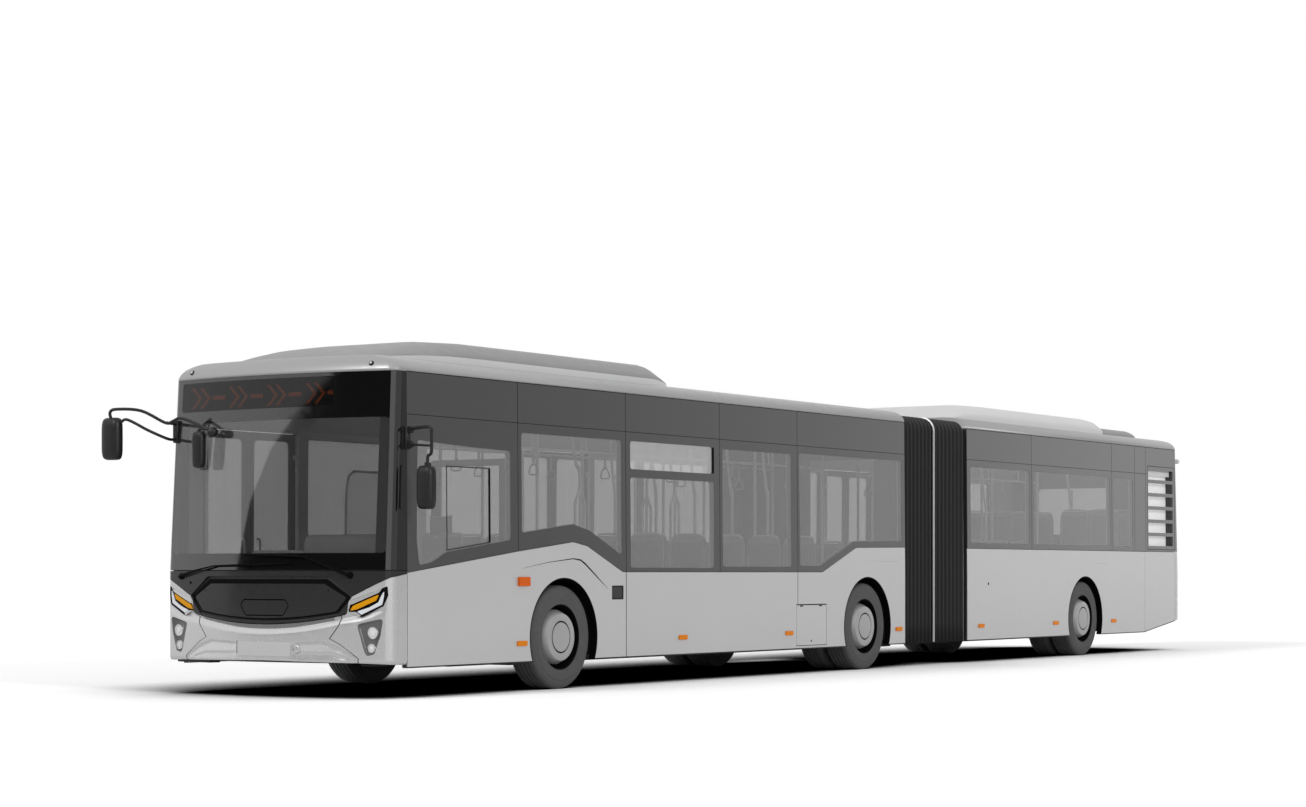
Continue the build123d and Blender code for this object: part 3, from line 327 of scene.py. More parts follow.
class Form:
    """Vertices and faces of one piece while it is put together; each step returns the form."""

    def __init__(self):
        self.verts, self.faces, self.kinds = [], [], []
        self.kind = 0

    def use(self, kind):
        """The faces that follow take this one of the piece's paints."""
        self.kind = kind
        return self

    def add(self, verts, faces):
        start = len(self.verts)
        self.verts += [tuple(v) for v in verts]
        self.faces += [[start + i for i in face] for face in faces]
        self.kinds += [self.kind] * len(faces)
        return self

    def piece(self, name, body, *paints, slot=None, bevel=0.0, sharp=38, weld=0.0):
        """Makes the mesh, its materials and edges, and lets it ride on a body."""
        mesh = bpy.data.meshes.new(name)
        mesh.from_pydata(self.verts, [], self.faces)
        mesh.polygons.foreach_set("material_index", self.kinds)
        outward(mesh)
        for paint in paints:
            mesh.materials.append(paint.material)
        mesh.shade_smooth()
        mesh.set_sharp_from_angle(angle=radians(sharp))
        if weld:
            outward(mesh, weld)
        piece = bpy.data.objects.new(name, mesh)
        scene.collection.objects.link(piece)
        if bevel:
            edge = piece.modifiers.new("edge", "BEVEL")
            edge.width, edge.segments, edge.limit_method = bevel, 2, "ANGLE"
            edge.angle_limit = radians(50)
            edge.harden_normals = False
        if body:
            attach(piece, body)
        return piece

    def loft(self, rings, closed=True, caps=True, around=False):
        """Faces between rings of equal length."""
        count = len(rings[0])
        faces = []
        for r in range(len(rings) if around else len(rings) - 1):
            a, b = r * count, ((r + 1) % len(rings)) * count
            for i in range(count if closed else count - 1):
                j = (i + 1) % count
                faces.append([a + i, a + j, b + j, b + i])
        if caps and closed and not around:
            faces += [list(range(count)), list(range((len(rings) - 1) * count, len(rings) * count))]
        return self.add([v for ring in rings for v in ring], faces)

    def box(self, low, high, edge=0.006, turn=None):
        """A box with chamfered edges; turn is a matrix applied about its middle."""
        mid = Vector([(a + b) / 2 for a, b in zip(low, high)])
        half = [abs(b - a) / 2 for a, b in zip(low, high)]
        cut = min(edge, 0.9 * min(half))
        verts, index, faces = [], {}, []
        for s in product((-1, 1), repeat=3):
            for axis in range(3):
                p = Vector([s[i] * (half[i] - (0 if i == axis else cut)) for i in range(3)])
                index[s, axis] = len(verts)
                verts.append(mid + (turn @ p if turn else p))
        for axis in range(3):
            u, v = [i for i in range(3) if i != axis]

            def corner(sign, su, sv):
                return tuple({axis: sign, u: su, v: sv}[i] for i in range(3))

            for sign in (-1, 1):
                faces.append([index[corner(sign, su, sv), axis]
                              for su, sv in ((-1, -1), (1, -1), (1, 1), (-1, 1))])
            for su, sv in product((-1, 1), repeat=2):
                a, b = corner(-1, su, sv), corner(1, su, sv)
                faces.append([index[a, u], index[a, v], index[b, v], index[b, u]])
        faces += [[index[s, axis] for axis in range(3)] for s in product((-1, 1), repeat=3)]
        return self.add(verts, faces)

    def tube(self, points, radius, sides=12, steps=6, flat=1.0):
        """A round tube along a smooth line; radius may be a list, one per given point."""
        line = curve_points(points, steps) if steps > 1 else [Vector(p) for p in points]
        normal = None
        rings = []
        for n, point in enumerate(line):
            ahead = (line[min(n + 1, len(line) - 1)] - line[max(n - 1, 0)]).normalized()
            if normal is None:
                normal = ahead.orthogonal().normalized()
            normal = (normal - ahead * normal.dot(ahead)).normalized()
            other = ahead.cross(normal)
            size = radius
            if isinstance(radius, (list, tuple)):
                place = n / (len(line) - 1) * (len(radius) - 1)
                low = min(int(place), len(radius) - 2)
                size = radius[low] + (radius[low + 1] - radius[low]) * (place - low)
            rings.append([
                point + normal * cos(2 * pi * k / sides) * size
                + other * sin(2 * pi * k / sides) * size * flat
                for k in range(sides)
            ])
        return self.loft(rings)

    def lathe(self, profile, centre, side, steps=96):
        """A closed profile of (distance outward, radius) turned about a wheel's axle."""
        x0, y0, z0 = centre
        turns = [2 * pi * n / steps for n in range(steps)]
        return self.loft([[(x0 + side * out, y0 + r * cos(a), z0 + r * sin(a)) for out, r in profile]
                          for a in turns], around=True)

    def disc(self, centre, normal, profile, steps=32):
        """A dome or ring stack: (height, radius) rings about a normal, closed at both ends."""
        normal = Vector(normal).normalized()
        u = normal.orthogonal().normalized()
        v = normal.cross(u)
        centre = Vector(centre)
        return self.loft([
            [centre + normal * h + (u * cos(2 * pi * k / steps) + v * sin(2 * pi * k / steps)) * r
             for k in range(steps)]
            for h, r in profile
        ])

    def skin(self, outline, place, top=0.0, bottom=-0.01, holes=(), voids=(), cuts=((), ()), merge=0.0):
        """A shell of even thickness: an outline with holes, laid on a surface by place(t, z, d)."""
        loops = [[Vector((t, z, 0)) for t, z in loop] for loop in (outline, *holes)]
        flat = bmesh.new()
        points = [flat.verts.new(v) for loop in loops for v in loop]
        for corners in tessellate_polygon(loops):
            try:
                flat.faces.new([points[i] for i in corners])
            except ValueError:
                pass
        loose = [v for v in flat.verts if not v.link_faces]
        bmesh.ops.delete(flat, geom=loose, context="VERTS")

        def split(value, axis):
            where = (value, 0, 0) if axis == 0 else (0, value, 0)
            normal = (1, 0, 0) if axis == 0 else (0, 1, 0)
            geom = flat.verts[:] + flat.edges[:] + flat.faces[:]
            bmesh.ops.bisect_plane(flat, geom=geom, dist=1e-6, plane_co=where, plane_no=normal)

        for axis in (0, 1):
            for value in cuts[axis]:
                split(value, axis)
        for (t0, t1), (z0, z1) in voids:
            for value, axis in ((t0, 0), (t1, 0), (z0, 1), (z1, 1)):
                split(value, axis)
            gone = [
                f for f in flat.faces
                if t0 < f.calc_center_median().x < t1 and z0 < f.calc_center_median().y < z1
            ]
            bmesh.ops.delete(flat, geom=gone, context="FACES")
        if merge:
            # leave only the grid of cuts, so that a curved face shades evenly
            slanted = [e for e in flat.edges if len(e.link_faces) == 2
                       and all(abs(a - b) > 1e-5 for a, b in zip(e.verts[0].co.xy, e.verts[1].co.xy))]
            bmesh.ops.dissolve_edges(flat, edges=slanted, use_verts=False)
            spare = [v for v in flat.verts if not v.is_boundary and len(v.link_edges) == 2]
            bmesh.ops.dissolve_verts(flat, verts=spare)
            bmesh.ops.remove_doubles(flat, verts=flat.verts, dist=merge)
        flat.verts.index_update()
        flat.normal_update()
        count = len(flat.verts)
        verts = [place(v.co.x, v.co.y, d) for d in (top, bottom) for v in flat.verts]
        faces = []
        for face in flat.faces:
            ring = [v.index for v in face.verts]
            faces += [ring, [i + count for i in reversed(ring)]]
        for edge in flat.edges:
            if len(edge.link_faces) == 1:
                a, b = edge.verts[0].index, edge.verts[1].index
                faces.append([a, b, b + count, a + count])
        flat.free()
        return self.add(verts, faces)


# ------------------------------------------------------------------ the body's surfaces


def side_half(z):
    return HALF if z <= FLANK else HALF - (HALF - GUTTER_HALF) * (z - FLANK) / (GUTTER - FLANK)


def left(s, z, d):
    return (side_half(z) + d, at(s), z)


def right(s, z, d):
    return (-side_half(z) - d, at(s), z)


class End:
    """The nose or the tail: t is measured round the plan from the middle, left positive."""

    def __init__(self, way, face, corner, seam, levels):
        self.way, self.face, self.corner, self.seam, self.levels = way, face, corner, seam, levels
        self.body, self.z_cuts, step = (FRONT, (), 0.1) if way < 0 else (REAR, (FLANK,), 0.2)
        self.base = self.plan(*levels[0][1:])
        corner_f, turn = self.base[2:]
        self.l1 = face * (pi / 2 - turn)
        self.l2 = self.l1 + corner * turn
        self.l3 = self.l2 + corner_f - seam
        self.marks = self.cuts(-2, 2, step)

    def level(self, z):
        for (z0, tip0, half0), (z1, tip1, half1) in zip(self.levels, self.levels[1:]):
            if z <= z1:
                w = min(1, max(0, (z - z0) / (z1 - z0)))
                return tip0 + (tip1 - tip0) * w, half0 + (half1 - half0) * w
        return self.levels[-1][1:]

    def plan(self, tip, half):
        middle, corner_x = tip - self.face, half - self.corner
        corner_f = middle + sqrt((self.face - self.corner) ** 2 - corner_x ** 2)
        return middle, corner_x, corner_f, atan2(corner_f - middle, corner_x)

    def __call__(self, t, z, d):
        side = 1 if t >= 0 else -1
        t = abs(t)
        tip, half = self.level(z)
        middle, corner_x, corner_f, turn = self.plan(tip, half)
        if t <= self.l1:
            angle = pi / 2 - t / self.l1 * (pi / 2 - turn)
            x, f = (self.face + d) * cos(angle), middle + (self.face + d) * sin(angle)
        elif t <= self.l2:
            angle = turn * (self.l2 - t) / (self.l2 - self.l1)
            x = corner_x + (self.corner + d) * cos(angle)
            f = corner_f + (self.corner + d) * sin(angle)
        elif t <= self.l3:
            x = half + d
            f = corner_f - (corner_f - self.seam) * (t - self.l2) / (self.l3 - self.l2)
        else:
            x, f = half + d, self.seam - (t - self.l3)
        return (side * x, at(self.way * f), z)

    def across(self, x):
        """The way round the plan to a distance from the middle, left positive."""
        _, corner_x, _, turn = self.base
        side, x = (1 if x >= 0 else -1), abs(x)
        if x <= self.face * cos(turn):
            return side * self.face * asin(x / self.face)
        angle = acos(min(1, max(-1, (x - corner_x) / self.corner)))
        return side * (self.l1 + self.corner * (turn - angle))

    def along(self, station):
        """The way round the plan to a station on the flank."""
        return self.l3 + self.seam - self.way * station

    def outline(self, points):
        return [(self.across(x), z) for x, z in points]

    def cuts(self, low, high, step):
        """Places between two values of t where a sheet is cut, so that it follows the plan."""
        marks = grid_cuts(-self.l1, self.l1, step) + [-self.l1, self.l1, self.l3, -self.l3]
        for n in range(1, 15):
            t = self.l1 + (self.l2 - self.l1) * n / 14
            marks += [t, -t]
        return sorted(t for t in marks if low < t < high)

    def sheet(self, name, outline, top, bottom, paint, body=None, slot=None, bevel=0.002, z_cuts=None, **more):
        form = Form().skin(outline, self, top, bottom, cuts=(self.marks, z_cuts or self.z_cuts), **more)
        return form.piece(name, body or self.body, paint, slot=slot, bevel=bevel)


# Height, how far the cap leans back and how far its sides lean in.
ROOF_LINE = [(2.785, 0.0, 0.0), (2.805, 0.002, 0.0025), (2.83, 0.010, 0.013), (2.855, 0.022, 0.033),
             (2.88, 0.040, 0.066), (2.90, 0.062, 0.112), (2.915, 0.076, 0.172), (2.926, 0.090, 0.235),
             (2.93, 0.103, 0.32)]
nose = End(-1, 5.0, 0.11, -NOSE_SEAM, [(1.093, 2.716, HALF)]
           + [(z, 2.62 - back, GUTTER_HALF - inward) for z, back, inward in ROOF_LINE])
tail = End(1, 14.0, 0.12, TAIL_SEAM, [(1.07, 15.19, HALF)]
           + [(z, 15.12 - 0.3 * back, GUTTER_HALF - inward) for z, back, inward in ROOF_LINE])


# ------------------------------------------------------------------ camera, floor and light

camera_data = bpy.data.cameras.new("camera")
camera_data.sensor_width, camera_data.lens, camera_data.clip_end = 36, 72.92, 400
camera_data.shift_x, camera_data.shift_y = 0.0011, 0.1296
camera = bpy.data.objects.new("camera", camera_data)
camera.location = (15.20, -26.095, 1.072)
camera.rotation_euler = (pi / 2, 0, radians(32.89))
scene.collection.objects.link(camera)
scene.camera = camera
scene.view_settings.view_transform = "Standard"

for name, energy, place in (("key", 0.9, (-5, -24, 14)), ("fill", 0.75, (24, -6, 8))):
    data = bpy.data.lights.new(name, "SUN")
    data.energy, data.angle = energy, radians(12)
    light = bpy.data.objects.new(name, data)
    light.location = place
    light.rotation_euler = (-Vector(place)).to_track_quat("-Z", "Y").to_euler()
    scene.collection.objects.link(light)

# the world: white where it is seen, also through glass and in gloss, and softer as light
scene.world = bpy.data.worlds.new("studio")
scene.world.use_nodes = True
sky = scene.world.node_tree
rays = add_node(sky, "LightPath", {}).outputs
seen = rays["Is Camera Ray"]
for ray in ("Is Transmission Ray", "Is Glossy Ray"):
    seen = add_node(sky, "Math", {0: seen, 1: rays[ray]}, operation="MAXIMUM").outputs[0]
background = sky.nodes["Background"]
background.inputs["Color"].default_value = (1, 1, 1, 1)
sky.links.new(ramp(sky, seen, 0, 1, 0.60, 1.0), background.inputs["Strength"])


def studio_plane(name, points):
    """A flat piece of the studio; returns it with the node tree of its empty material."""
    mesh = bpy.data.meshes.new(name)
    mesh.from_pydata(points, [], [list(range(len(points)))])
    plane = bpy.data.objects.new(name, mesh)
    scene.collection.objects.link(plane)
    material = bpy.data.materials.new(name)
    material.use_nodes = True
    tree = material.node_tree
    tree.nodes.remove(tree.nodes["Principled BSDF"])
    mesh.materials.append(material)
    return plane, tree


# the floor: where it is seen, a leaning shelter (ambient occlusion) term deepens its shadow
_, tree = studio_plane("floor", [(-300, -300, 0), (300, -300, 0), (300, 300, 0), (-300, 300, 0)])
lean = add_node(tree, "CombineXYZ", {"X": 0.60, "Y": 0.0, "Z": 0.80}).outputs["Vector"]
shelter = add_node(tree, "AmbientOcclusion", {"Distance": 2.2, "Normal": lean}, samples=24).outputs["AO"]
deepen = ramp(tree, shelter, 0.36, 0.88, 0.0, 1.35, interpolation_type="SMOOTHSTEP")
seen = add_node(tree, "LightPath", {}).outputs["Is Camera Ray"]
tone = add_node(tree, "Mix", {"A": 0.8, "B": deepen, "Factor": seen}, data_type="FLOAT").outputs["Result"]
diffuse = add_node(tree, "BsdfDiffuse", {"Color": tone}).outputs["BSDF"]
tree.links.new(diffuse, tree.nodes["Material Output"].inputs["Surface"])


def reflector(name, points, along=None, dark=0.0):
    """A card that only gloss shows: black, or from dark to white between two values of Y."""
    card, tree = studio_plane(name, points)
    for ray in ("camera", "diffuse", "transmission", "volume_scatter", "shadow"):
        setattr(card, f"visible_{ray}", False)
    strength = dark
    if along:
        place = add_node(tree, "TexCoord", {}).outputs["Object"]
        y = add_node(tree, "SeparateXYZ", {"Vector": place}).outputs["Y"]
        strength = ramp(tree, y, *along, dark, 1.0)
    glow = add_node(tree, "Emission", {"Strength": strength}).outputs["Emission"]
    tree.links.new(glow, tree.nodes["Material Output"].inputs["Surface"])


reflector("card_ahead", [(x, -45, z) for x, z in (
    (-46, 0.0), (-44.2, 4.7), (-42.2, 5.6), (-37.8, 7.35), (-31.1, 8.5), (-23.3, 9.1), (-17, 9.6), (-14, 11),
    (-10, 15), (16, 15), (16, 0.0))])
reflector("card_corner", [(40, y, z) for y, z in pane(-25, 20, 0, 40)], dark=0.5)
reflector("card_aside", [(40, y, z) for y, z in pane(20, 110, 0, 40)], (45, 95), 0.27)

# ------------------------------------------------------------------ side walls

FLANK_CUT = ((), (FLANK,))
GAP = 0.0035
SIDES = {"left": left, "right": right}
SPANS = {"front": (NOSE_SEAM, FRONT_END), "rear": (REAR_START, TAIL_SEAM)}
AXLES = {"front": (0.0, 5.90), "rear": (11.865,)}
TAIL_LIFT = 0.142 * (TAIL_SEAM - TAIL_RISE) / 1.16
DOOR_W, DOOR_Z = 1.3, (0.366, 2.385)
WINDOW_Z = (1.43, 2.337)
BELT = [(-2.33, 1.074), (-0.73, 1.265), (0.15, 1.358), (0.38, 1.323), (0.98, 1.08), (4.88, 1.08),
        (5.64, 1.35), (6.80, 1.362)]
BELT_BEND = [0, 0.5, 0.09, 0.12, 0.10, 0.15, 0.25, 0]
WALLS = {
    "front_left": dict(
        windows=[
            [(-2.20, 1.351), (-2.165, 1.135), (-2.0, 1.161), (-1.78, 1.252), (-0.835, 1.366),
             (-0.835, 2.164), (-1.38, 2.174), (-1.96, 2.196), (-2.18, 2.21)],
            [(-0.665, 1.431), (0.15, 1.522), (0.42, 1.467), (0.963, 1.238), (0.963, 2.335), (-0.665, 2.335)],
            pane(1.119, 2.65, 1.12, 1.987),
            pane(1.119, 2.606, 2.066, 2.335),
            pane(2.815, 4.21, 1.134, 2.325),
            [(4.395, 1.144), (4.832, 1.145), (5.587, 1.414), (6.719, 1.432), (6.719, 2.343), (4.376, 2.34)],
        ],
        seams=(-0.72, 1.04, 2.76, 4.34),
        voids=[((1.033, 1.047), (0.2, 2.0)), ((4.333, 4.346), (0.735, 2.0)),
               ((4.310, 4.967), (0.294, 0.739)), ((0.793, 0.991), (0.818, 0.951))],
    ),
    "front_right": dict(
        windows=[pane(*s, *WINDOW_Z) for s in ((-0.69, 1.0), (1.14, 2.66), (4.16, 5.06), (5.16, 6.719))],
        seams=(-0.80, 1.07, 4.10, 5.11), doors=(-2.15, 2.75),
        voids=[((1.067, 1.073), (0.2, 2.0)), ((4.337, 4.343), (0.2, 2.0))],
    ),
    "rear_left": dict(
        windows=[pane(*s, 1.428, 2.337) for s in ((8.496, 10.157), (10.287, 12.682), (12.802, 13.454))],
        seams=(10.22, 12.74, 13.52, 13.90), grille=[pane(13.963, 14.938, 1.387, 2.535)],
        voids=[((13.856, 13.864), (0.2, 2.0))],
    ),
    "rear_right": dict(
        windows=[pane(*s, *WINDOW_Z) for s in ((8.496, 9.27), (10.74, 12.682), (12.802, 14.20))],
        seams=(10.70, 12.74, 14.26), doors=(9.35,),
        voids=[((13.857, 13.863), (0.2, 2.0)), ((11.0, 11.006), (0.2, 2.0))],
    ),
}

WAIST, SEAM_HALF, UPPER_SEAM = 1.362, 0.004, (2.418, 2.423)


def arch(station, radius=ARCH, steps=56):
    """Points from one foot of a wheel arch over to the other."""
    start = asin((AXLE_Z - SKIRT) / radius)
    turns = [-start + (pi + 2 * start) * n / steps for n in range(steps + 1)]
    return [(station - radius * cos(a), AXLE_Z + radius * sin(a)) for a in turns]


def foot(section):
    """The wall's lower edge from front to back, with its arches and the tail's rise."""
    s0, s1 = SPANS[section]
    arches = [p for station in AXLES[section] for p in arch(station)]
    end = [(TAIL_RISE, SKIRT), (s1, SKIRT + TAIL_LIFT)] if section == "rear" else [(s1, SKIRT)]
    return [(s0, SKIRT), *arches, *end]


for name, wall in WALLS.items():
    section, side_name = name.split("_")
    body, place, (s0, s1) = SECTIONS[section], SIDES[side_name], SPANS[section]
    doors = [((d, d + DOOR_W), DOOR_Z) for d in wall.get("doors", ())]
    openings = [rounded(w, 0.035, 4) for w in wall["windows"]]
    holes = openings + wall.get("grille", [])
    belt = rounded(BELT, BELT_BEND, 8) if name == "front_left" else [(s0, WAIST), (s1, WAIST)]

    # silver skirt panels
    outline = foot(section) + [(s, z - 0.003) for s, z in reversed(belt)]
    outline = [(max(s0 + GAP, min(s1 - GAP, s)), z) for s, z in outline]
    skirt = Form().skin(outline, place, 0.0, -0.012, voids=wall["voids"] + doors, cuts=FLANK_CUT)
    skirt = skirt.piece(f"skirt_{name}", body, SILVER, bevel=0.003)

    # dark glazing band, its joints and windows
    band = [({s0: s0 + GAP, s1: s1 - GAP}.get(s, s), z + 0.002) for s, z in belt]
    band += [(s1 - GAP, GUTTER - 0.002), (s0 + GAP, GUTTER - 0.002)]
    slits = [((s - SEAM_HALF, s + SEAM_HALF), (1.0, 2.9)) for s in wall["seams"]]
    slits += [((s0 - 1, s1 + 1), UPPER_SEAM), *[(width, (1.0, DOOR_Z[1])) for width, height in doors]]
    Form().skin(band, place, 0.0, -0.008, holes, slits).piece(f"band_{name}", body, BAND, bevel=0.0012)
    form = Form()
    for opening in openings:
        heights = [z for s, z in opening]
        # panes shorter than 0.3 m take the lighter copy of the glass: painted light
        form.use(int(max(heights) - min(heights) < 0.3)).skin(opening, place, -0.0008, -0.007)
    form.piece(f"windows_{name}", body, GLASS, HOPPER_GLASS_LIT)

    # core behind the joints, and the lining inside
    whole = foot(section) + [(s1, GUTTER), (s0, GUTTER)]
    form = Form().skin(whole, place, -0.012, -0.05, holes, doors, FLANK_CUT)
    form.use(1).skin(whole, place, -0.0505, -0.06, holes, doors, FLANK_CUT)
    form.piece(f"wall_core_{name}", body, SEAL, TRIM, slot="frame_steel")

    # dark lower edge of the skirt between the arches, and rubber edge round each arch
    form, round_arches = Form(), Form()
    half_chord = sqrt(ARCH ** 2 - (AXLE_Z - SKIRT) ** 2)
    stops = [s0 + GAP]
    for station in AXLES[section]:
        stops += [station - half_chord - 0.004, station + half_chord + 0.004]
        round_arches.skin(arch(station, ARCH + 0.003) + arch(station, ARCH - 0.009)[::-1], place, 0.0006, -0.065)
    stops.append(s1 - GAP if section == "front" else TAIL_RISE)
    runs = [(a, b, 0.0) for a, b in zip(stops[::2], stops[1::2])]
    if section == "rear":
        runs.append((TAIL_RISE, s1 - GAP, TAIL_LIFT))
    for a, b, lift in runs:
        form.skin([(a, SKIRT - 0.001), (b, SKIRT + lift - 0.001), (b, SKIRT + lift + 0.011), (a, SKIRT + 0.011)],
                  place, 0.0015, -0.013)
    form.piece(f"skirt_edge_{name}", body, PLASTIC, bevel=0.001)
    round_arches.piece(f"arch_edge_{name}", body, MATT, bevel=0.0015)

    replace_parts(skirt, f"{name}_wall")

# dark joint between the side glazing and the roof
for section, s0, s1 in (("front", -2.325, 6.797), ("rear", 8.403, 14.945)):
    form = Form()
    for place in (left, right):
        form.skin(pane(s0, s1, 2.7815, 2.7875), place, 0.0008, -0.006)
    form.piece(f"gutter_joint_{section}", SECTIONS[section], MATT)

# frame of the driver's sliding window and the dark ends of the panes that open
Form().skin([(-1.78, 1.262), (-1.14, 1.338), (-1.14, 2.0), (-1.78, 2.0)], left, 0.0006, -0.003,
            [[(-1.770, 1.273), (-1.168, 1.345), (-1.168, 1.991), (-1.770, 1.991)]]
            ).piece("driver_window_frame", FRONT, SEAL)
Form().skin(pane(-1.166, -1.141, 1.346, 1.992), left, 0.0012, 0.0002).skin(
    pane(2.610, 2.652, 2.070, 2.331), left, 0.0012, -0.002).piece("window_stops", FRONT, MATT)

# ------------------------------------------------------------------ nose skins

SEAM_T, CLEAR_T = nose.along(-2.3335), nose.across(1.222)
SCREEN_TOP = GUTTER - 0.003
sign_hole = rounded(pane(nose.across(-1.14), nose.across(0.68), 2.495, 2.752), 0.03)
clear_hole = rounded(pane(-CLEAR_T, CLEAR_T, 1.24, 2.392), 0.05)
screen = nose.sheet("windscreen_print", pane(-SEAM_T, SEAM_T, 1.097, SCREEN_TOP), 0.0, -0.008, BLACK,
                    holes=[clear_hole, sign_hole], z_cuts=grid_cuts(1.1, SCREEN_TOP, 0.25), bevel=0.0015)
nose.sheet("windscreen", clear_hole, -0.0006, -0.0075, SCREEN, z_cuts=grid_cuts(1.24, 2.39, 0.2), bevel=0)
nose.sheet("sign_glass", sign_hole, -0.0006, -0.0075, SMOKED, bevel=0)
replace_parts(screen, "front_glass")


def smile(low, rise, reach, steps=14):
    """A line that bends up from the middle: height low + rise * x * x, out to x = reach."""
    return [(reach * n / steps, low + rise * (reach * n / steps) ** 2) for n in range(steps + 1)]


# mask between the windscreen and the bumper, parted from the silver by a line
PARTING = smile(0.630, 0.119, 0.80) + [
    (0.850, 0.718), (0.866, 0.728), (0.873, 0.745), (0.880, 0.80), (0.885, 0.825), (0.893, 0.850),
    (0.915, 0.872), (1.121, 0.970), (1.256, 1.036)]
HEX = smile(0.668, 0.110, 0.770) + [(0.900, 0.862), (0.668, 1.018), (0, 1.018)]
HEX_HOLE = smile(0.656, 0.1045, 0.785) + [(0.922, 0.866), (0.680, 1.042), (0, 1.042)]
HEADLAMP = [(0.889, 0.744), (0.912, 0.838), (0.935, 0.846), (1.155, 0.919), (1.234, 0.957), (1.238, 0.880),
            (1.203, 0.794), (1.003, 0.700), (0.937, 0.734)]
FOG = [(0.962, 0.635), (1.205, 0.688), (1.177, 0.535), (1.121, 0.382), (1.050, 0.367), (1.027, 0.417)]
lamp_left = rounded(nose.outline(HEADLAMP), 0.010, 3)
fog_left = rounded(nose.outline(FOG), 0.03, 4)
part_round = [*nose.outline(PARTING), (SEAM_T, 1.066)]
mask_outline = both([(t, z + 0.003) for t, z in part_round] + [(SEAM_T, 1.088), (0, 1.088)])
mask = nose.sheet("mask_panel", mask_outline, 0.0, -0.02, MASK, bevel=0.0015,
                  holes=[rounded(both(nose.outline(HEX_HOLE)), 0.02, 4)])
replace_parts(mask, "front_mask")

# the flap: a panel in a matt black ring, widest at the top, that is painted shade in the gap round it, and a
# six-sided place for a badge, left bare, in a black groove that is painted shade too
PANEL = smile(0.680, 0.111, 0.758) + [(0.862, 0.860), (0.645, 0.978), (0, 0.978)]
BADGE = [(0, 0.700), (0.215, 0.700), (0.28, 0.795), (0.235, 0.845), (0, 0.845)]
panel_edge = rounded(both(nose.outline(PANEL)), 0.02, 4)
badge_edge = rounded(both(nose.outline(BADGE)), 0.03, 4)
flap_panel = nose.sheet("flap_panel", panel_edge, -0.010, -0.022, MASK, "front_flap", bevel=0.004,
                        holes=[badge_edge])
nose.sheet("flap_badge_place", inset(badge_edge, 0.010), -0.011, -0.022, MASK, "front_flap", bevel=0.004)
nose.sheet("flap_badge_shade_groove", inset(badge_edge, -0.012), -0.0225, -0.026, MATT, "front_flap")
nose.sheet("flap_shade_ring", rounded(both(nose.outline(HEX)), 0.02, 4), -0.016, -0.021, MATT, "front_flap",
           bevel=0.001, holes=[inset(panel_edge, 0.004)])
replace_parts(flap_panel, "front_flap")
for n, (body, x, z, radius, back) in enumerate((
        (FRONT, -0.914, 0.985, 0.014, 0.0), ("front_flap", -0.724, 0.916, 0.006, 0.010),
        ("front_flap", 0.682, 0.921, 0.006, 0.010))):
    Form().skin(ring_points((nose.across(x), z), radius), nose, 0.0012 - back, -0.004 - back
                ).piece(f"washer_{n}", body, MATT, bevel=0.001)

# ------------------------------------------------------------------ bumper with its relief

LIP = nose.outline(smile(0.590, 0.142, 0.80) + [(0.90, 0.694), (1.0, 0.708), (1.12, 0.736), (1.225, 0.769)])
SHELF = nose.outline([(0.30, 0.475), (0.64, 0.49), (0.80, 0.44), (0.975, 0.346)])
SHELF_LOW = nose.outline([(0.30, 0.395), (0.70, 0.39), (0.867, 0.352), (0.90, 0.33)])
SEAM_LINE = nose.outline([(0.816, 0.708), (0.79, 0.625), (0.70, 0.512), (0.975, 0.346), (0.97, 0.28)])
FOLD, STEP = 0.022, 0.018


def relief(t, z):
    """How far the bumper's face stands back from the plain nose surface, in metres."""
    t = abs(t)
    d = 0.0
    lip, part = height_on(LIP, t), height_on(part_round, t)
    if lip is not None and part is not None and part > lip:
        fade = 1 if t < 1.0 else max(0, 1 - (t - 1.0) / 0.28)
        if z >= lip:
            w = min(1, (part - z) / (part - lip))
            d -= FOLD * w * w * (3 - 2 * w) * fade
        elif z > lip - 0.06:
            w = (z - lip + 0.06) / 0.06
            d -= FOLD * w * w * fade
    for line, depth, fall in ((SHELF, 0.016, 0.035), (SHELF_LOW, 0.009, 0.03)):
        step = height_on(line, t)
        if step is not None and z < step:
            w = min(1, (step - z) / STEP)
            ends = min(1, (t - line[0][0]) / 0.06, (line[-1][0] - t) / 0.04)
            d -= depth * ends * w * w * (3 - 2 * w) * max(0, 1 - (step - z) / (3 * fall))
    if z < 0.33:
        d -= 0.03 * ((0.33 - z) / 0.05) ** 2
    return d


def bow(t):
    """Rise of the smile at t; the bumper's mesh rows follow it, so that its folds stay even."""
    return 0.13 * min(0.80, 5.0 * sin(abs(t) / 5.0)) ** 2


def bumper_place(t, row, d):
    z = row + bow(t)
    return nose(t, z, d + relief(t, z))


def rows(points):
    return [(t, z - bow(t)) for t, z in points]


def bumper_foot(t):
    """Height of the bumper's lower edge."""
    return 0.318 - 0.012 * min(1, t / 0.9) if t < 0.98 else 0.306 - 0.016 * min(1, (t - 0.98) / 0.5)


SEAM_GAP = 0.006
bumper_cuts = grid_cuts(-SEAM_T, SEAM_T, 0.016)
top_line = [(t, z - 0.004) for t, z in part_round]
low_edge = [(t, bumper_foot(t)) for t in [0.05 * n for n in range(29)] + [SEAM_T]]


def bumper_skin(name, outline, holes=()):
    return Form().skin(
        rows(outline), bumper_place, 0.0, -0.02, [rows(hole) for hole in holes],
        cuts=(bumper_cuts, grid_cuts(0.20, 1.06, 0.008)), merge=0.0012
    ).piece(name, FRONT, NOSE_SILVER, sharp=60)


def seam_side(gap, foot_t):
    """The seam between the bumper's middle and its corner, moved by half its gap."""
    line = [(t + gap, z) for t, z in SEAM_LINE]
    first, last = line[0][0], line[-1][0]
    return [(first, height_on(top_line, first)), *line[1:-1], (last, bumper_foot(foot_t))]


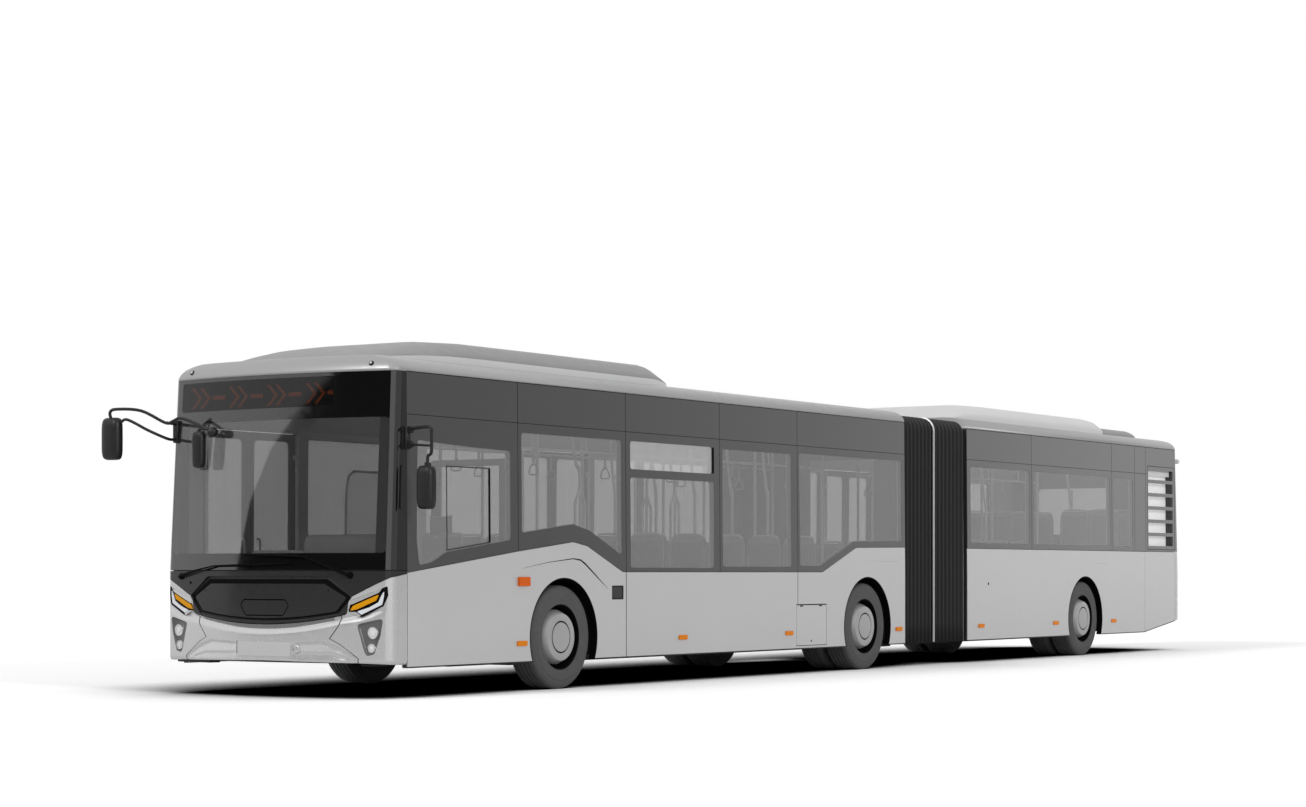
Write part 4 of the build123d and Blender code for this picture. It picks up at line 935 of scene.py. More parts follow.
split = SEAM_LINE[0][0]
centre = [p for p in low_edge if 1e-6 < p[0] < 0.96] + seam_side(-SEAM_GAP, 0.97)[::-1]
centre += [p for p in top_line[::-1] if 1e-6 < p[0] < split - 0.01]
centre = [(0, low_edge[0][1]), *centre, (0, top_line[0][1])]
bumper = bumper_skin("bumper_centre", both(centre), [ring_points((nose.across(0.367), 0.417), 0.036)])
corner = seam_side(SEAM_GAP, 0.98)
corner += [p for p in low_edge if p[0] > corner[-1][0]] + [p for p in top_line[::-1] if p[0] > split + 0.01]
bumper_skin("bumper_corner_left", corner, [lamp_left, fog_left])
bumper_skin("bumper_corner_right", mirrored(corner), [mirrored(lamp_left), mirrored(fog_left)])
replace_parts(bumper, "bumper")


def tow_cover(name, body, paint, centre, notch, out):
    """A round cover over a towing eye, with the notch by which it is lifted."""
    form = Form().disc(centre, out, [
        (0, 0.0345), (0.012, 0.0345), (0.0145, 0.032), (0.0155, 0.026), (0.016, 0.001)])
    form.use(1).disc(notch, out, [(0, 0.005), (0.0012, 0.004)], 12).piece(name, body, paint, MATT)


# strip under the mask in darker silver, painted shade where the bumper turns in under the mask; blank plate, tow
# cover and the dark lips below the corners
strip_top = [(t, z - 0.0045) for t, z in part_round if t < nose.across(0.80)]
strip_low = [(t, height_on(LIP, t) - 0.001) for t, z in strip_top]
Form().skin(rows(both(strip_low + strip_top[::-1])), bumper_place, 0.0012, -0.004,
            cuts=(bumper_cuts, grid_cuts(0.57, 0.64, 0.005)), merge=0.0008
            ).piece("smile_strip", FRONT, SILVER_SHADE, sharp=50)
nose.sheet("plate_blank", rounded(pane(-nose.across(0.30), nose.across(0.30), 0.354, 0.477), 0.006, 3),
           0.003, -0.012, PLATE)
# a dark strip along one side of the raised plate: painted shadow
Form().skin(rounded(pane(-nose.across(0.309), -nose.across(0.300), 0.372, 0.482), 0.003, 3), nose, 0.001, -0.012
            ).piece("plate_side_shadow", FRONT, MATT)
centre = Vector(nose(nose.across(0.367), 0.417, -0.012))
tow_cover("tow_cover", FRONT, NOSE_SILVER, centre, centre + Vector((-0.027, -0.0165, 0)), (0.07, -1, 0))
for side_name, side in WAYS:
    t0, t1 = sorted((side * nose.across(0.70 if side < 0 else 0.98), side * nose.across(1.17)))
    nose.sheet(f"nose_lip_{side_name}", pane(t0, t1, 0.281, 0.305), -0.045, -0.16, PLASTIC, bevel=0.004)
    # black bars on the flat side of the corner
    t0, t1 = sorted((side * (nose.l2 + 0.004), side * (nose.l3 - 0.022)))
    for label, z0, z1 in (("upper", 2.115, 2.315), ("lower", 1.61, 1.985)):
        Form().skin(rounded(pane(t0, t1, z0, z1), 0.03), nose, 0.014, -0.002).piece(
            f"corner_bar_{label}_{side_name}", FRONT, PLASTIC, bevel=0.006)
    # clearance lamp on the roof's brow
    here = Vector(nose(side * nose.across(1.055), 2.848, -0.004))
    out = Vector((side * 0.05, -1, 0.55)).normalized()
    form = Form().disc(here, out, [(0, 0.024), (0.006, 0.024), (0.012, 0.019), (0.015, 0.010), (0.016, 0.001)], 28)
    form.use(1).disc(here + out * 0.012, out, [(0, 0.013), (0.0045, 0.009), (0.006, 0.001)], 20)
    form.piece(f"clearance_lamp_{side_name}", FRONT, PLASTIC, REVERSE, slot="lamp_lens")

# ------------------------------------------------------------------ roofs


def roof(name, end, reach, body, node):
    """A domed end and straight run of roof, closed below at the gutter, in a darker copy of the silver: painted
    shade.
    """
    half_cuts = end.cuts(0.0, end.l3 + 1e-6, 0.12) + [end.l3, end.l3 + reach]
    marks = sorted({*half_cuts, *[-t for t in half_cuts]})
    rings = [[end(t, z, 0) for t in marks] for z, *_ in ROOF_LINE]
    form = Form().loft(rings, closed=False, caps=False)
    count = len(marks)
    for ring in (rings[-1], rings[0]):
        form.add(ring, [[i, i + 1, count - 2 - i, count - 1 - i] for i in range(count // 2 - 1)])
    form.add([ring[-1] for ring in rings] + [ring[0] for ring in rings[::-1]], [list(range(2 * len(rings)))])
    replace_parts(form.piece(name, body, ROOF_SHADED_SILVER, sharp=30, weld=1e-5), node)


roof("roof_shell_front", nose, FRONT_END - NOSE_SEAM, FRONT, "front_roof")
roof("roof_shell_rear", tail, TAIL_SEAM - REAR_START, REAR, "rear_roof")


def pod(name, body, sections, lower=ROOFING, upper=ROOF_SHADE, base=2.925):
    """A roof unit: stations with (half width, top, shoulder) and a rounded section. A low band on each side takes
    the lower paint and the rest takes the upper one; a darker upper paint is painted shade on the top.
    """
    rings = []
    for s, half, top, shoulder in sections:
        outline = [(half - shoulder * inward, base + (top - base) * rise) for inward, rise in (
            (0, 0), (0, 0.30), (0.12, 0.48), (0.55, 0.80), (1, 0.93), (1.6, 0.985))]
        outline += [(half * 0.45, top), (0, top)]
        rings.append([(x, at(s), z) for x, z in outline + [(-x, z) for x, z in outline[-2::-1]]])
    form = Form().loft(rings)
    count = len(rings[0])
    form.kinds = [1 if 1 <= min(face) % count <= 12 and len(face) == 4 else 0 for face in form.faces]
    return form.piece(name, body, lower, upper, sharp=40, bevel=0.008)


front_pod = pod("roof_pod_front", FRONT, [
    (-2.20, 0.80, 2.945, 0.10), (-2.16, 0.86, 2.965, 0.13), (-1.95, 0.915, 3.03, 0.20), (-1.70, 0.94, 3.09, 0.24),
    (-1.35, 0.95, 3.14, 0.24), (-0.9, 0.95, 3.158, 0.22), (0.5, 0.95, 3.16, 0.20), (2.03, 0.95, 3.16, 0.20),
    (2.12, 0.948, 3.13, 0.19), (2.23, 0.94, 3.075, 0.16), (2.30, 0.925, 3.03, 0.11), (2.315, 0.915, 2.96, 0.05)])
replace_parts(front_pod, "front_roof_unit")
rear_pod = pod("roof_pod_rear", REAR, [
    (8.60, 0.80, 2.945, 0.10), (8.64, 0.87, 2.97, 0.13), (8.85, 0.92, 3.05, 0.20), (9.10, 0.945, 3.11, 0.22),
    (9.40, 0.95, 3.145, 0.22), (9.8, 0.95, 3.15, 0.20), (12.9, 0.95, 3.15, 0.20), (13.12, 0.945, 3.135, 0.20),
    (13.22, 0.93, 3.10, 0.18), (13.28, 0.90, 3.04, 0.14), (13.30, 0.86, 2.98, 0.10)], ROOF_PALE, ROOF_PALE)
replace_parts(rear_pod, "rear_roof_units")
pod("roof_unit_tail", REAR, [
    (13.40, 0.80, 2.97, 0.06), (13.42, 0.84, 3.01, 0.08), (13.50, 0.85, 3.045, 0.09), (14.4, 0.85, 3.045, 0.09),
    (14.55, 0.845, 3.02, 0.08), (14.60, 0.82, 2.98, 0.05)], ROOF_SHADE)

# ------------------------------------------------------------------ wheels

TREAD = [(0.030, 0.4745), (0.046, 0.4783)]
for groove in (0.085, 0.128, 0.172, 0.215):
    TREAD += [(groove + out, r) for out, r in (
        (-0.006, 0.4785), (-0.0055, 0.468), (0.0055, 0.468), (0.006, 0.4785))]
TREAD += [(0.252, 0.4783), (0.262, 0.4745)]
SIDEWALL = [(0.012, 0.303), (0.009, 0.312), (0.010, 0.322), (0.004, 0.345), (0.001, 0.372), (0.0, 0.39),
            (0.0012, 0.402), (0.0032, 0.404), (0.0032, 0.412), (0.0025, 0.415), (0.006, 0.438), (0.013, 0.456),
            (0.020, 0.467)]
TYRE_LOOP = SIDEWALL + TREAD + [(0.28 - x, r) for x, r in SIDEWALL[::-1]] + [(0.24, 0.3028), (0.04, 0.3028)]
CAP = [(-0.105, 0.253), (-0.078, 0.2525), (-0.071, 0.2495), (-0.014, 0.222), (-0.006, 0.216), (-0.003, 0.206),
       (-0.004, 0.152), (-0.010, 0.149), (-0.010, 0.138), (-0.003, 0.135), (-0.001, 0.10), (0.0, 0.001),
       (-0.03, 0.001), (-0.04, 0.18), (-0.09, 0.23)]
GROOVE = [(-0.0105, 0.1375), (-0.0075, 0.1385), (-0.0075, 0.1480), (-0.0105, 0.149)]
DISH = [(-0.012, 0.3022), (-0.020, 0.294), (-0.085, 0.287), (-0.115, 0.275), (-0.12, 0.001), (-0.14, 0.001),
        (-0.15, 0.27), (-0.26, 0.29), (-0.268, 0.3022)]
DISH_TWIN = DISH[:-2] + [(-0.56, 0.284), (-0.593, 0.3022)]


def wheel(axle, station, side_name, side):
    body = f"wheel_{axle}_{side_name}"
    face = (side * 1.245, at(station), AXLE_Z)
    form = Form()
    for shift in (0.0,) if axle == "front" else (0.0, 0.325):
        form.lathe([(-x - shift, r) for x, r in TYRE_LOOP], face, side)
    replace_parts(form.piece(f"tread_{axle}_{side_name}", body, TYRE, sharp=50), f"tyre_{axle}_{side_name}")
    # the dish round the cap, the nuts in it and the cap's groove are matt black: painted shade in the wheel's
    # hollows
    form = Form().lathe(CAP, face, side).use(1).lathe(DISH if axle == "front" else DISH_TWIN, face, side)
    # ten wheel nuts in the dish round the cap
    for n in range(10):
        a = 2 * pi * (n + 0.5) / 10
        here = (face[0] - side * 0.117, face[1] + 0.264 * cos(a), AXLE_Z + 0.264 * sin(a))
        form.disc(here, (side, 0, 0), [(-0.01, 0.0105), (0.018, 0.0105), (0.022, 0.007)], 6)
    cap = form.use(2).lathe(GROOVE, face, side).piece(f"cap_{axle}_{side_name}", body, WHEEL, MATT, MATT, sharp=32)
    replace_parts(cap, f"rim_{axle}_{side_name}")


for axle, station in (("front", 0.0), ("middle", 5.90), ("rear", 11.865)):
    for side_name, side in WAYS:
        wheel(axle, station, side_name, side)

# ------------------------------------------------------------------ bellows

PLEATS, PLEAT_DEPTH, PLEAT_STEPS = 8, 0.088, 6


def portal(s, out):
    """A line up one side of the bellows, over its round corners and down the other side."""
    half, top, bend = 1.155 + out, 2.79 + out, 0.07 + out
    line = [(half, 0.27 + 0.22 * k) for k in range(11)]
    for k in range(11):
        a = pi / 2 * k / 10
        line.append((half - bend + bend * cos(a), top - bend + bend * sin(a)))
    line += [(x, top) for x in (0.6, 0.0)]
    return [(x, at(s), z) for x, z in line + [(-x, z) for x, z in line[-2::-1]]]


def across_joint(piece, node):
    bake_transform(piece)
    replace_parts(piece, node)


def bellows(name, s0, s1, node):
    """Half of the bellows: a folded cloth with an inner layer and piped folds."""
    count = PLEATS * PLEAT_STEPS * 2
    outer, inner = [
        [portal(s0 + (s1 - s0) * n / count,
                PLEAT_DEPTH * (1 - abs(2 * (n / (2 * PLEAT_STEPS) % 1) - 1)) ** 0.8 + layer)
         for n in range(count + 1)]
        for layer in (0.0, -0.012)
    ]
    form = Form().loft(outer + inner[::-1], closed=False, caps=False, around=True)
    form.kinds = [int(n // (len(outer[0]) - 1) % (2 * PLEAT_STEPS) in (PLEAT_STEPS - 1, PLEAT_STEPS))
                  for n in range(len(form.faces))]
    for edge in (0, -1):
        form.add([ring[edge] for ring in outer + inner],
                 [[n, n + 1, count + 2 + n, count + 1 + n] for n in range(count)])
    across_joint(form.piece(name, None, BELLOWS, PIPING, sharp=60, weld=1e-6), node)


bellows("bellows_cloth_front", FRONT_END + 0.001, PIVOT - 0.022, "bellows_front")
bellows("bellows_cloth_rear", PIVOT + 0.022, REAR_START - 0.001, "bellows_rear")

# middle ring: a dark frame with a bright edge that stands just above the folds
RING_EDGE = [(-0.012, -0.005), (-0.012, 0.079), (-0.009, 0.0815), (-0.0085, 0.092), (-0.006, 0.0965)]
lines = [portal(PIVOT + shift, out) for shift, out in RING_EDGE + mirrored(RING_EDGE)]
form = Form().loft(lines, closed=False, caps=False, around=True)
form.kinds = [int(2 <= n // (len(lines[0]) - 1) <= 6) for n in range(len(form.faces))]
for end in (0, -1):
    form.add([line[end] for line in lines], [list(range(len(lines)))])
ring = form.piece("bellows_middle_ring", None, BELLOWS, ALUMINIUM, slot="ring_aluminium", sharp=30)
across_joint(ring, "bellows_ring")

# ------------------------------------------------------------------ lamps on the nose

LAMP_PARTS = (
    ("amber", INDICATOR, -0.004, [(0.893, 0.750), (0.921, 0.791), (1.163, 0.889), (1.136, 0.838), (0.96, 0.762)]),
    ("bar", DAYLIGHT, -0.004, [(0.960, 0.744), (1.003, 0.717), (1.192, 0.803), (1.206, 0.866), (1.210, 0.921),
                               (1.181, 0.873), (1.158, 0.823), (1.075, 0.780)]),
    ("brow", NOSE_SILVER, 0.0015, [(0.898, 0.800), (0.912, 0.840), (0.935, 0.847), (1.155, 0.921), (1.200, 0.942),
                                   (1.160, 0.902), (0.925, 0.808)]),
    ("chin", NOSE_SILVER, 0.0015, [(0.885, 0.740), (0.952, 0.740), (0.998, 0.712), (0.990, 0.697),
                                   (0.935, 0.722)]),
)


def lamp_set(side_name, side):
    def flip(points):
        return points if side > 0 else mirrored(points)

    cuts = (nose.marks, ())
    form = Form().skin(flip(lamp_left), nose, -0.016, -0.024, cuts=cuts)
    form.skin(flip(inset(lamp_left, -0.003)), nose, 0.0008, -0.018, [flip(inset(lamp_left, 0.008))], cuts=cuts)
    base = form.piece(f"headlamp_bowl_{side_name}", FRONT, MATT, slot="lamp_lens", bevel=0.0012)
    for label, paint, proud, outline in LAMP_PARTS:
        points = flip(rounded(nose.outline(outline), 0.005, 3))
        Form().skin(points, nose, proud, -0.015, cuts=cuts, merge=0.0004).piece(
            f"headlamp_{label}_{side_name}", FRONT, paint, slot="lamp_lens", bevel=0.0008)
    nose.sheet(f"headlamp_cover_{side_name}", flip(inset(lamp_left, 0.0085)), 0.0, -0.0025, COVER, bevel=0)

    # recess with two round lamps, lined in a dark copy of the silver: painted shade
    rim = flip(fog_left)
    centre = Vector((sum(t for t, z in rim) / len(rim), sum(z for t, z in rim) / len(rim)))
    rings = [[nose(*(centre + (Vector(p) - centre) * share), d) for p in rim] for share, d in (
        (1.0, -0.001), (0.97, -0.006), (0.91, -0.016), (0.84, -0.0225), (0.4, -0.024), (0.02, -0.024))]
    rings.append([nose(*p, -0.029) for p in rim])
    Form().loft(rings, around=True).piece(f"fog_recess_{side_name}", FRONT, RECESS_SHADE, sharp=30)
    for label, x, z, r in (("upper", 1.106, 0.564, 0.046), ("lower", 1.094, 0.433, 0.034)):
        t = nose.across(x) * side
        here, out = Vector(nose(t, z, -0.028)), Vector(nose(t, z, 0.0))
        way = (Vector((0, -1, 0)) + (out - here).normalized() * 0.7).normalized()
        Form().disc(here, way, [(0, r + 0.010), (0.012, r + 0.010), (0.020, r + 0.005), (0.019, r),
                                (0.008, r * 0.9), (0.008, 0.001)]
                    ).piece(f"fog_ring_{label}_{side_name}", FRONT, CHROME, sharp=35)
        Form().disc(here + way * 0.009, way, [
            (0, r * 0.96), (0.006, r * 0.93), (0.008, r * 0.72), (0.004, r * 0.69), (0.004, r * 0.60),
            (0.010, r * 0.56), (0.013, r * 0.3), (0.014, 0.001)]
        ).piece(f"fog_lens_{label}_{side_name}", FRONT, REVERSE, sharp=50)
    return base


base = lamp_set("left", 1)
lamp_set("right", -1)
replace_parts(base, "front_lamps")

# ------------------------------------------------------------------ markers along the skirts


MARKER_Z, MARKER_HALF, TURN_LAMP_Z = (0.412, 0.458), 0.075, (0.952, 1.034)


def marker(name, place, s0, s1, heights, body, paint=MARKER, proud=0.012):
    Form().skin(rounded(pane(s0, s1, *heights), 0.009, 4), place, proud, -0.004).piece(
        name, body, paint, bevel=0.005)


for section, stations in (("front", (-0.67, 2.05, 4.15)), ("rear", (8.77, 10.93, 12.78))):
    for side_name, place in SIDES.items():
        for n, s in enumerate(stations):
            marker(f"marker_{section}_{side_name}_{n}", place, s - MARKER_HALF, s + MARKER_HALF, MARKER_Z,
                   SECTIONS[section])
for side_name, place in SIDES.items():
    marker(f"marker_front_{side_name}_last", place, 6.565, 6.715, MARKER_Z, FRONT)
for side_name, end in (("left", -0.56), ("right", -0.58)):
    marker(f"direction_lamp_{side_name}", SIDES[side_name], -0.73, end, TURN_LAMP_Z, FRONT, AMBER, 0.02)

# ------------------------------------------------------------------ flaps and small things on the skirt

form = Form().skin(rounded(pane(4.3165, 4.9605, 0.3005, 0.7265), 0.02), left, 0.0, -0.014,
                   [ring_points((4.63, 0.345), 0.013)])
flap = form.piece("service_flap", "side_flap", SILVER, bevel=0.003)
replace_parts(flap, "side_flap")
form = Form().disc(left(4.63, 0.345, -0.010), (1, 0, 0), [(0, 0.012), (0.009, 0.011), (0.010, 0.006)], 20)
for s in (4.42, 4.83):
    form.skin(pane(s - 0.035, s + 0.035, 0.712, 0.724), left, 0.001, -0.004)
form.piece("service_flap_latch", "side_flap", MATT, bevel=0.001)

# fuel filler recess with its cover
rim = rounded(pane(0.793, 0.991, 0.818, 0.951), 0.02)
hole = rounded(pane(0.803, 0.981, 0.828, 0.941), 0.015)
Form().skin(rim, left, -0.001, -0.012, [hole]).skin(rim, left, -0.030, -0.036).piece(
    "filler_frame", FRONT, PLASTIC, bevel=0.002)
Form().skin(rounded(pane(0.809, 0.976, 0.832, 0.938), 0.024), left, -0.003, -0.020).piece(
    "filler_cover", FRONT, FRAME, slot="dark_plastic", bevel=0.006)

# creases over the arches and further back, drawn as dark strips on the skirt: painted shade; and a round cap
# further back
CREASE = [(-0.654, 1.112, 0.001), (-0.25, 1.168, 0.003), (0.151, 1.203, 0.006), (0.27, 1.190, 0.010),
          (0.345, 1.155, 0.013), (0.50, 1.060, 0.010), (0.62, 0.985, 0.006), (0.73, 0.920, 0.001)]
Form().skin([(s, z + w * 0.7) for s, z, w in CREASE] + [(s, z - w * 0.8) for s, z, w in CREASE[::-1]],
            left, 0.0006, -0.003, cuts=FLANK_CUT).piece("crease_arch", FRONT, MATT)
for name, s0, s1, z, body in (("middle", 5.71, 6.61, 1.20, FRONT), ("rear", 11.9, 12.55, 1.195, REAR)):
    Form().skin([(s0, z), (s1, z - 0.0015), (s1, z + 0.0015)], left, 0.0006, -0.003).piece(
        f"crease_{name}", body, SILVER_SHADE)
Form().skin(ring_points((8.97, 0.94), 0.017), left, 0.0012, -0.004).piece("side_socket", REAR, MATT)

# ------------------------------------------------------------------ doors on the right

LEAF_W, HINGE_IN = 0.637, 0.025


def door_leaf(door, leaf, edge, way):
    """A leaf with its glass, rubber, hinge column and grip; way is 1 where its hinge is in front."""
    body = f"door_{door}_{leaf}"
    s0, s1 = sorted((edge + way * 0.005, edge + way * (0.005 + LEAF_W)))
    hole = rounded(pane(s0 + 0.062, s1 - 0.062, 0.452, 2.305), 0.06)
    frame_piece = Form().skin(rounded(pane(s0, s1, 0.373, 2.378), 0.02), right, -0.001, -0.034, [hole],
                              cuts=FLANK_CUT).piece(f"leaf_frame_{door}_{leaf}", body, FRAME, bevel=0.004)
    Form().skin(hole, right, -0.004, -0.010, cuts=FLANK_CUT).piece(f"leaf_glass_{door}_{leaf}", body, GLASS)
    meet = s1 if way > 0 else s0
    Form().skin(pane(*sorted((meet - way * 0.016, meet - way * 0.001)), 0.38, 2.37), right, 0.001, -0.036,
                cuts=FLANK_CUT).piece(f"leaf_rubber_{door}_{leaf}", body, SEAL, slot="door_frame", bevel=0.003)
    column, grip = at(edge + way * HINGE_IN), at(meet - way * 0.10)
    form = Form().tube([(-1.19, column, 0.373), (-1.19, column, 2.37)], 0.0165, 18, 1)
    for z in (0.62, 2.14):
        form.box((-1.245, column - 0.014, z), (-1.19, column + 0.014, z + 0.04), 0.004)
    form.tube([(-1.228, grip, 1.02), (-1.196, grip, 1.06), (-1.196, grip, 1.35), (-1.228, grip, 1.39)], 0.011)
    form.piece(f"leaf_column_{door}_{leaf}", body, RAIL)
    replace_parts(frame_piece, f"door_{door}_{leaf}")


for door, start, section in (("first", -2.15, FRONT), ("second", 2.75, FRONT), ("third", 9.35, REAR)):
    door_leaf(door, "front", start, 1)
    door_leaf(door, "back", start + DOOR_W, -1)
    Form().skin(pane(start - 0.03, start + 1.33, 0.336, 2.415), right, 0.003, -0.02,
                [pane(start, start + DOOR_W, *DOOR_Z)], cuts=FLANK_CUT
                ).piece(f"doorway_edge_{door}", section, SEAL, slot="door_frame", bevel=0.003)
    # the step's edge is amber and takes the indicator's faint glow: painted light on a part that is no lamp
    Form().box((-1.255, at(start + 0.02), 0.3605), (-0.95, at(start + 1.28), 0.366), 0.002).piece(
        f"doorstep_{door}", section, INDICATOR, slot="door_frame")

# ------------------------------------------------------------------ tail

TAIL_T = tail.along(14.9535)
tail_lamp = rounded(pane(tail.across(0.93), tail.across(1.06), 0.70, 1.30), 0.03)
tow_rear = ring_points((tail.across(0.367), 0.50), 0.036)
tail_low = both([(0, 0.443), (1.05, 0.443), (1.25, 0.43), (TAIL_T, 0.402), (TAIL_T, 1.359), (0, 1.359)])
lid_hole = rounded(pane(-0.826, 0.826, 0.554, 1.352), 0.034)
low_shell = tail.sheet("tail_shell", tail_low, 0.0, -0.014, SILVER,
                       holes=[lid_hole, tail_lamp, mirrored(tail_lamp), tow_rear],
                       voids=[((-TAIL_T, -0.83), (0.690, 0.694)), ((0.83, TAIL_T), (0.690, 0.694))])
rear_window = rounded(pane(-0.88, 0.48, 1.62, 2.28), 0.07)
rear_sign = rounded(pane(-0.5, 0.5, 2.43, 2.68), 0.03)
tail.sheet("tail_band", both([(0, 1.364), (TAIL_T, 1.364), (TAIL_T, 2.782), (0, 2.782)]), 0.0, -0.012, BAND,
           holes=[rear_window, rear_sign], voids=[((-TAIL_T, TAIL_T), (2.358, 2.362))])
tail.sheet("tail_window", rear_window, -0.001, -0.007, GLASS, bevel=0)
tail.sheet("tail_sign_glass", rear_sign, -0.001, -0.008, SMOKED, bevel=0)
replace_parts(low_shell, "rear_end", "rear_glass")
tow_cover("tail_tow_cover", REAR, SILVER, tail(tail.across(0.367), 0.50, -0.014),
          tail(tail.across(0.367) - 0.024, 0.50, 0.0015), (0, 1, 0))
tail.sheet("gutter_joint_tail", both([(0, 2.777), (TAIL_T, 2.777), (TAIL_T, 2.790), (0, 2.790)]),
           -0.003, -0.02, MATT, bevel=0)
tail.sheet("tail_core", both([(0, 0.47), (TAIL_T, 0.44), (TAIL_T, 2.78), (0, 2.78)]), -0.045, -0.058, SEAL,
           slot="frame_steel", bevel=0, holes=[rear_window, tow_rear, pane(-0.80, 0.80, 0.60, 1.31)])

# engine lid: slots with louvres behind them, a bare plate and a handle
LOUVRE = ((0, 0), (-0.02, 0.03), (-0.024, 0.028), (-0.004, -0.002))
slots = [rounded(pane(-0.62, 0.62, 0.64 + 0.042 * n, 0.664 + 0.042 * n), 0.01, 3) for n in range(8)]
lid = tail.sheet("engine_cover", rounded(pane(-0.82, 0.82, 0.56, 1.34), 0.03), -0.001, -0.022, SILVER,
                 "engine_lid", bevel=0.003, holes=slots)
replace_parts(lid, "engine_lid")
form = Form()
for n, k in product(range(9), range(-2, 2)):
    ends = [tail(k * 0.31 + across, 0.630 + 0.042 * n, -0.024) for across in (0, 0.31)]
    form.loft([[(x, y + dy, z + dz) for dy, dz in LOUVRE] for x, y, z in ends])
form.piece("engine_cover_louvres", "engine_lid", PLASTIC)
tail.sheet("engine_cover_plate", rounded(pane(-0.26, 0.26, 1.075, 1.185), 0.008), -0.0012, -0.004, PLATE,
           "engine_lid", bevel=0.001)
tail.sheet("engine_cover_handle", rounded(pane(-0.09, 0.09, 1.235, 1.275), 0.012), 0.0, -0.006, PLASTIC,
           "engine_lid", bevel=0.003)

for side_name, side in WAYS:
    edge = tail_lamp if side > 0 else mirrored(tail_lamp)
    bed = Form().skin(edge, tail, -0.012, -0.03).piece(f"tail_lamp_bed_{side_name}", REAR, PLASTIC, bevel=0.003)
    if side > 0:
        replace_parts(bed, "rear_lamps")
    for n, (z, paint) in enumerate(((0.765, REVERSE), (0.88, INDICATOR), (1.0, RED), (1.12, RED), (1.235, RED))):
        Form().disc(tail(side * tail.across(0.995), z, -0.013), (0, 1, 0), [
            (-0.004, 0.050), (0.004, 0.050), (0.007, 0.046), (0.007, 0.044), (0.004, 0.043), (0.007, 0.032),
            (0.0095, 0.015), (0.010, 0.001)], 40
        ).piece(f"tail_lamp_{side_name}_{n}", REAR, paint, slot="rear_lens", sharp=40)
    tail.sheet(f"tail_marker_{side_name}", rounded(pane(*sorted((side * 1.02, side * 1.10)), 2.70, 2.73), 0.01),
               0.010, -0.002, RED, bevel=0.003)
Form().box((1.195, at(15.085), 2.602), (1.262, at(15.165), 2.662), 0.018).box(
    (1.18, at(15.06), 2.612), (1.23, at(15.11), 2.652)).piece("tail_camera", REAR, ROOF_PALE, slot="dark_plastic")

# ------------------------------------------------------------------ air grille on the left rear flank

(g0, g1), (h0, h1) = (13.963, 14.938), (1.387, 2.535)
GRILLE_DEPTH, GRILLE_ROWS, FINS = 0.105, 6, 6
row = (h1 - h0 - 0.06) / GRILLE_ROWS
row_foot = [h0 + 0.03 + row * n for n in range(GRILLE_ROWS)]
cells = [rounded(pane(g0 + 0.030, g1 - 0.058, z + 0.024, z + row - 0.024), 0.010, 3) for z in row_foot]
grille = Form().skin(rounded(pane(g0 + 0.008, g1 - 0.008, h0 + 0.008, h1 - 0.008), 0.02), left, 0.001, -0.02, cells
                     ).piece("grille_frame", REAR, BAND, bevel=0.003)
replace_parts(grille, "radiator_grille")
form = Form().skin(pane(g0 + 0.004, g1 - 0.004, h0 + 0.004, h1 - 0.004), left, -0.004, -0.008,
                   [pane(g0 + 0.022, g1 - 0.05, h0 + 0.03, h1 - 0.03)])
form.skin(pane(g1 - 0.064, g1 - 0.058, h0 + 0.01, h1 + 0.03), left, -0.021, -GRILLE_DEPTH)
form.piece("grille_reveal", REAR, GRILLE_DARK)
# the back of the grille glows a little: painted light
form = Form().skin(pane(g0 + 0.02, g1 - 0.02, h0 + 0.01, h1 + 0.03), left, -GRILLE_DEPTH, -GRILLE_DEPTH - 0.006)
for foot_z, k in product(row_foot, range(FINS)):
    z = foot_z + row / 2 - 0.065 + k * 0.026
    form.skin(pane(g0 + 0.05, g1 - 0.08, z - 0.0015, z + 0.0015), left,
              -GRILLE_DEPTH + 0.0025, -GRILLE_DEPTH - 0.001)
form.piece("grille_back", REAR, VENT_GLOW)

# ------------------------------------------------------------------ mirrors


def superellipse(half_u, half_v, power=5.0, steps=36):
    def reach(c, half):
        return half * abs(c) ** (2 / power) * (1 if c >= 0 else -1)

    return [(reach(cos(a), half_u), reach(sin(a), half_v)) for a in [2 * pi * n / steps for n in range(steps)]]


def mirror_head(name, x0, x1, s0, s1, z0, z1):
    """A domed housing that opens towards the driver, with its glass."""
    cx, cz, hx, hz = (x0 + x1) / 2, (z0 + z1) / 2, (x1 - x0) / 2, (z1 - z0) / 2
    base = superellipse(hx, hz)

    def rings(profile):
        return [[(cx + u * wide, at(s0 + (s1 - s0) * back), cz + v * high) for u, v in base]
                for wide, high, back in profile]

    form = Form().loft(rings([(share, (hz - (1 - share) * hx) / hz, back) for share, back in (
        (0.30, 0.0), (0.62, 0.04), (0.82, 0.14), (0.93, 0.30), (0.985, 0.50), (1.0, 0.72), (0.99, 1.0),
        (0.93, 1.0), (0.92, 0.86), (0.3, 0.86))]))
    form.use(1).loft(rings([(0.90, 0.95, 0.87), (0.90, 0.95, 0.93)]))
    return form.piece(name, FRONT, PLASTIC, MIRROR, sharp=35)


def stationed(points):
    """Points given as (x, station, z), as points of the frame."""
    return [(x, at(s), z) for x, s, z in points]


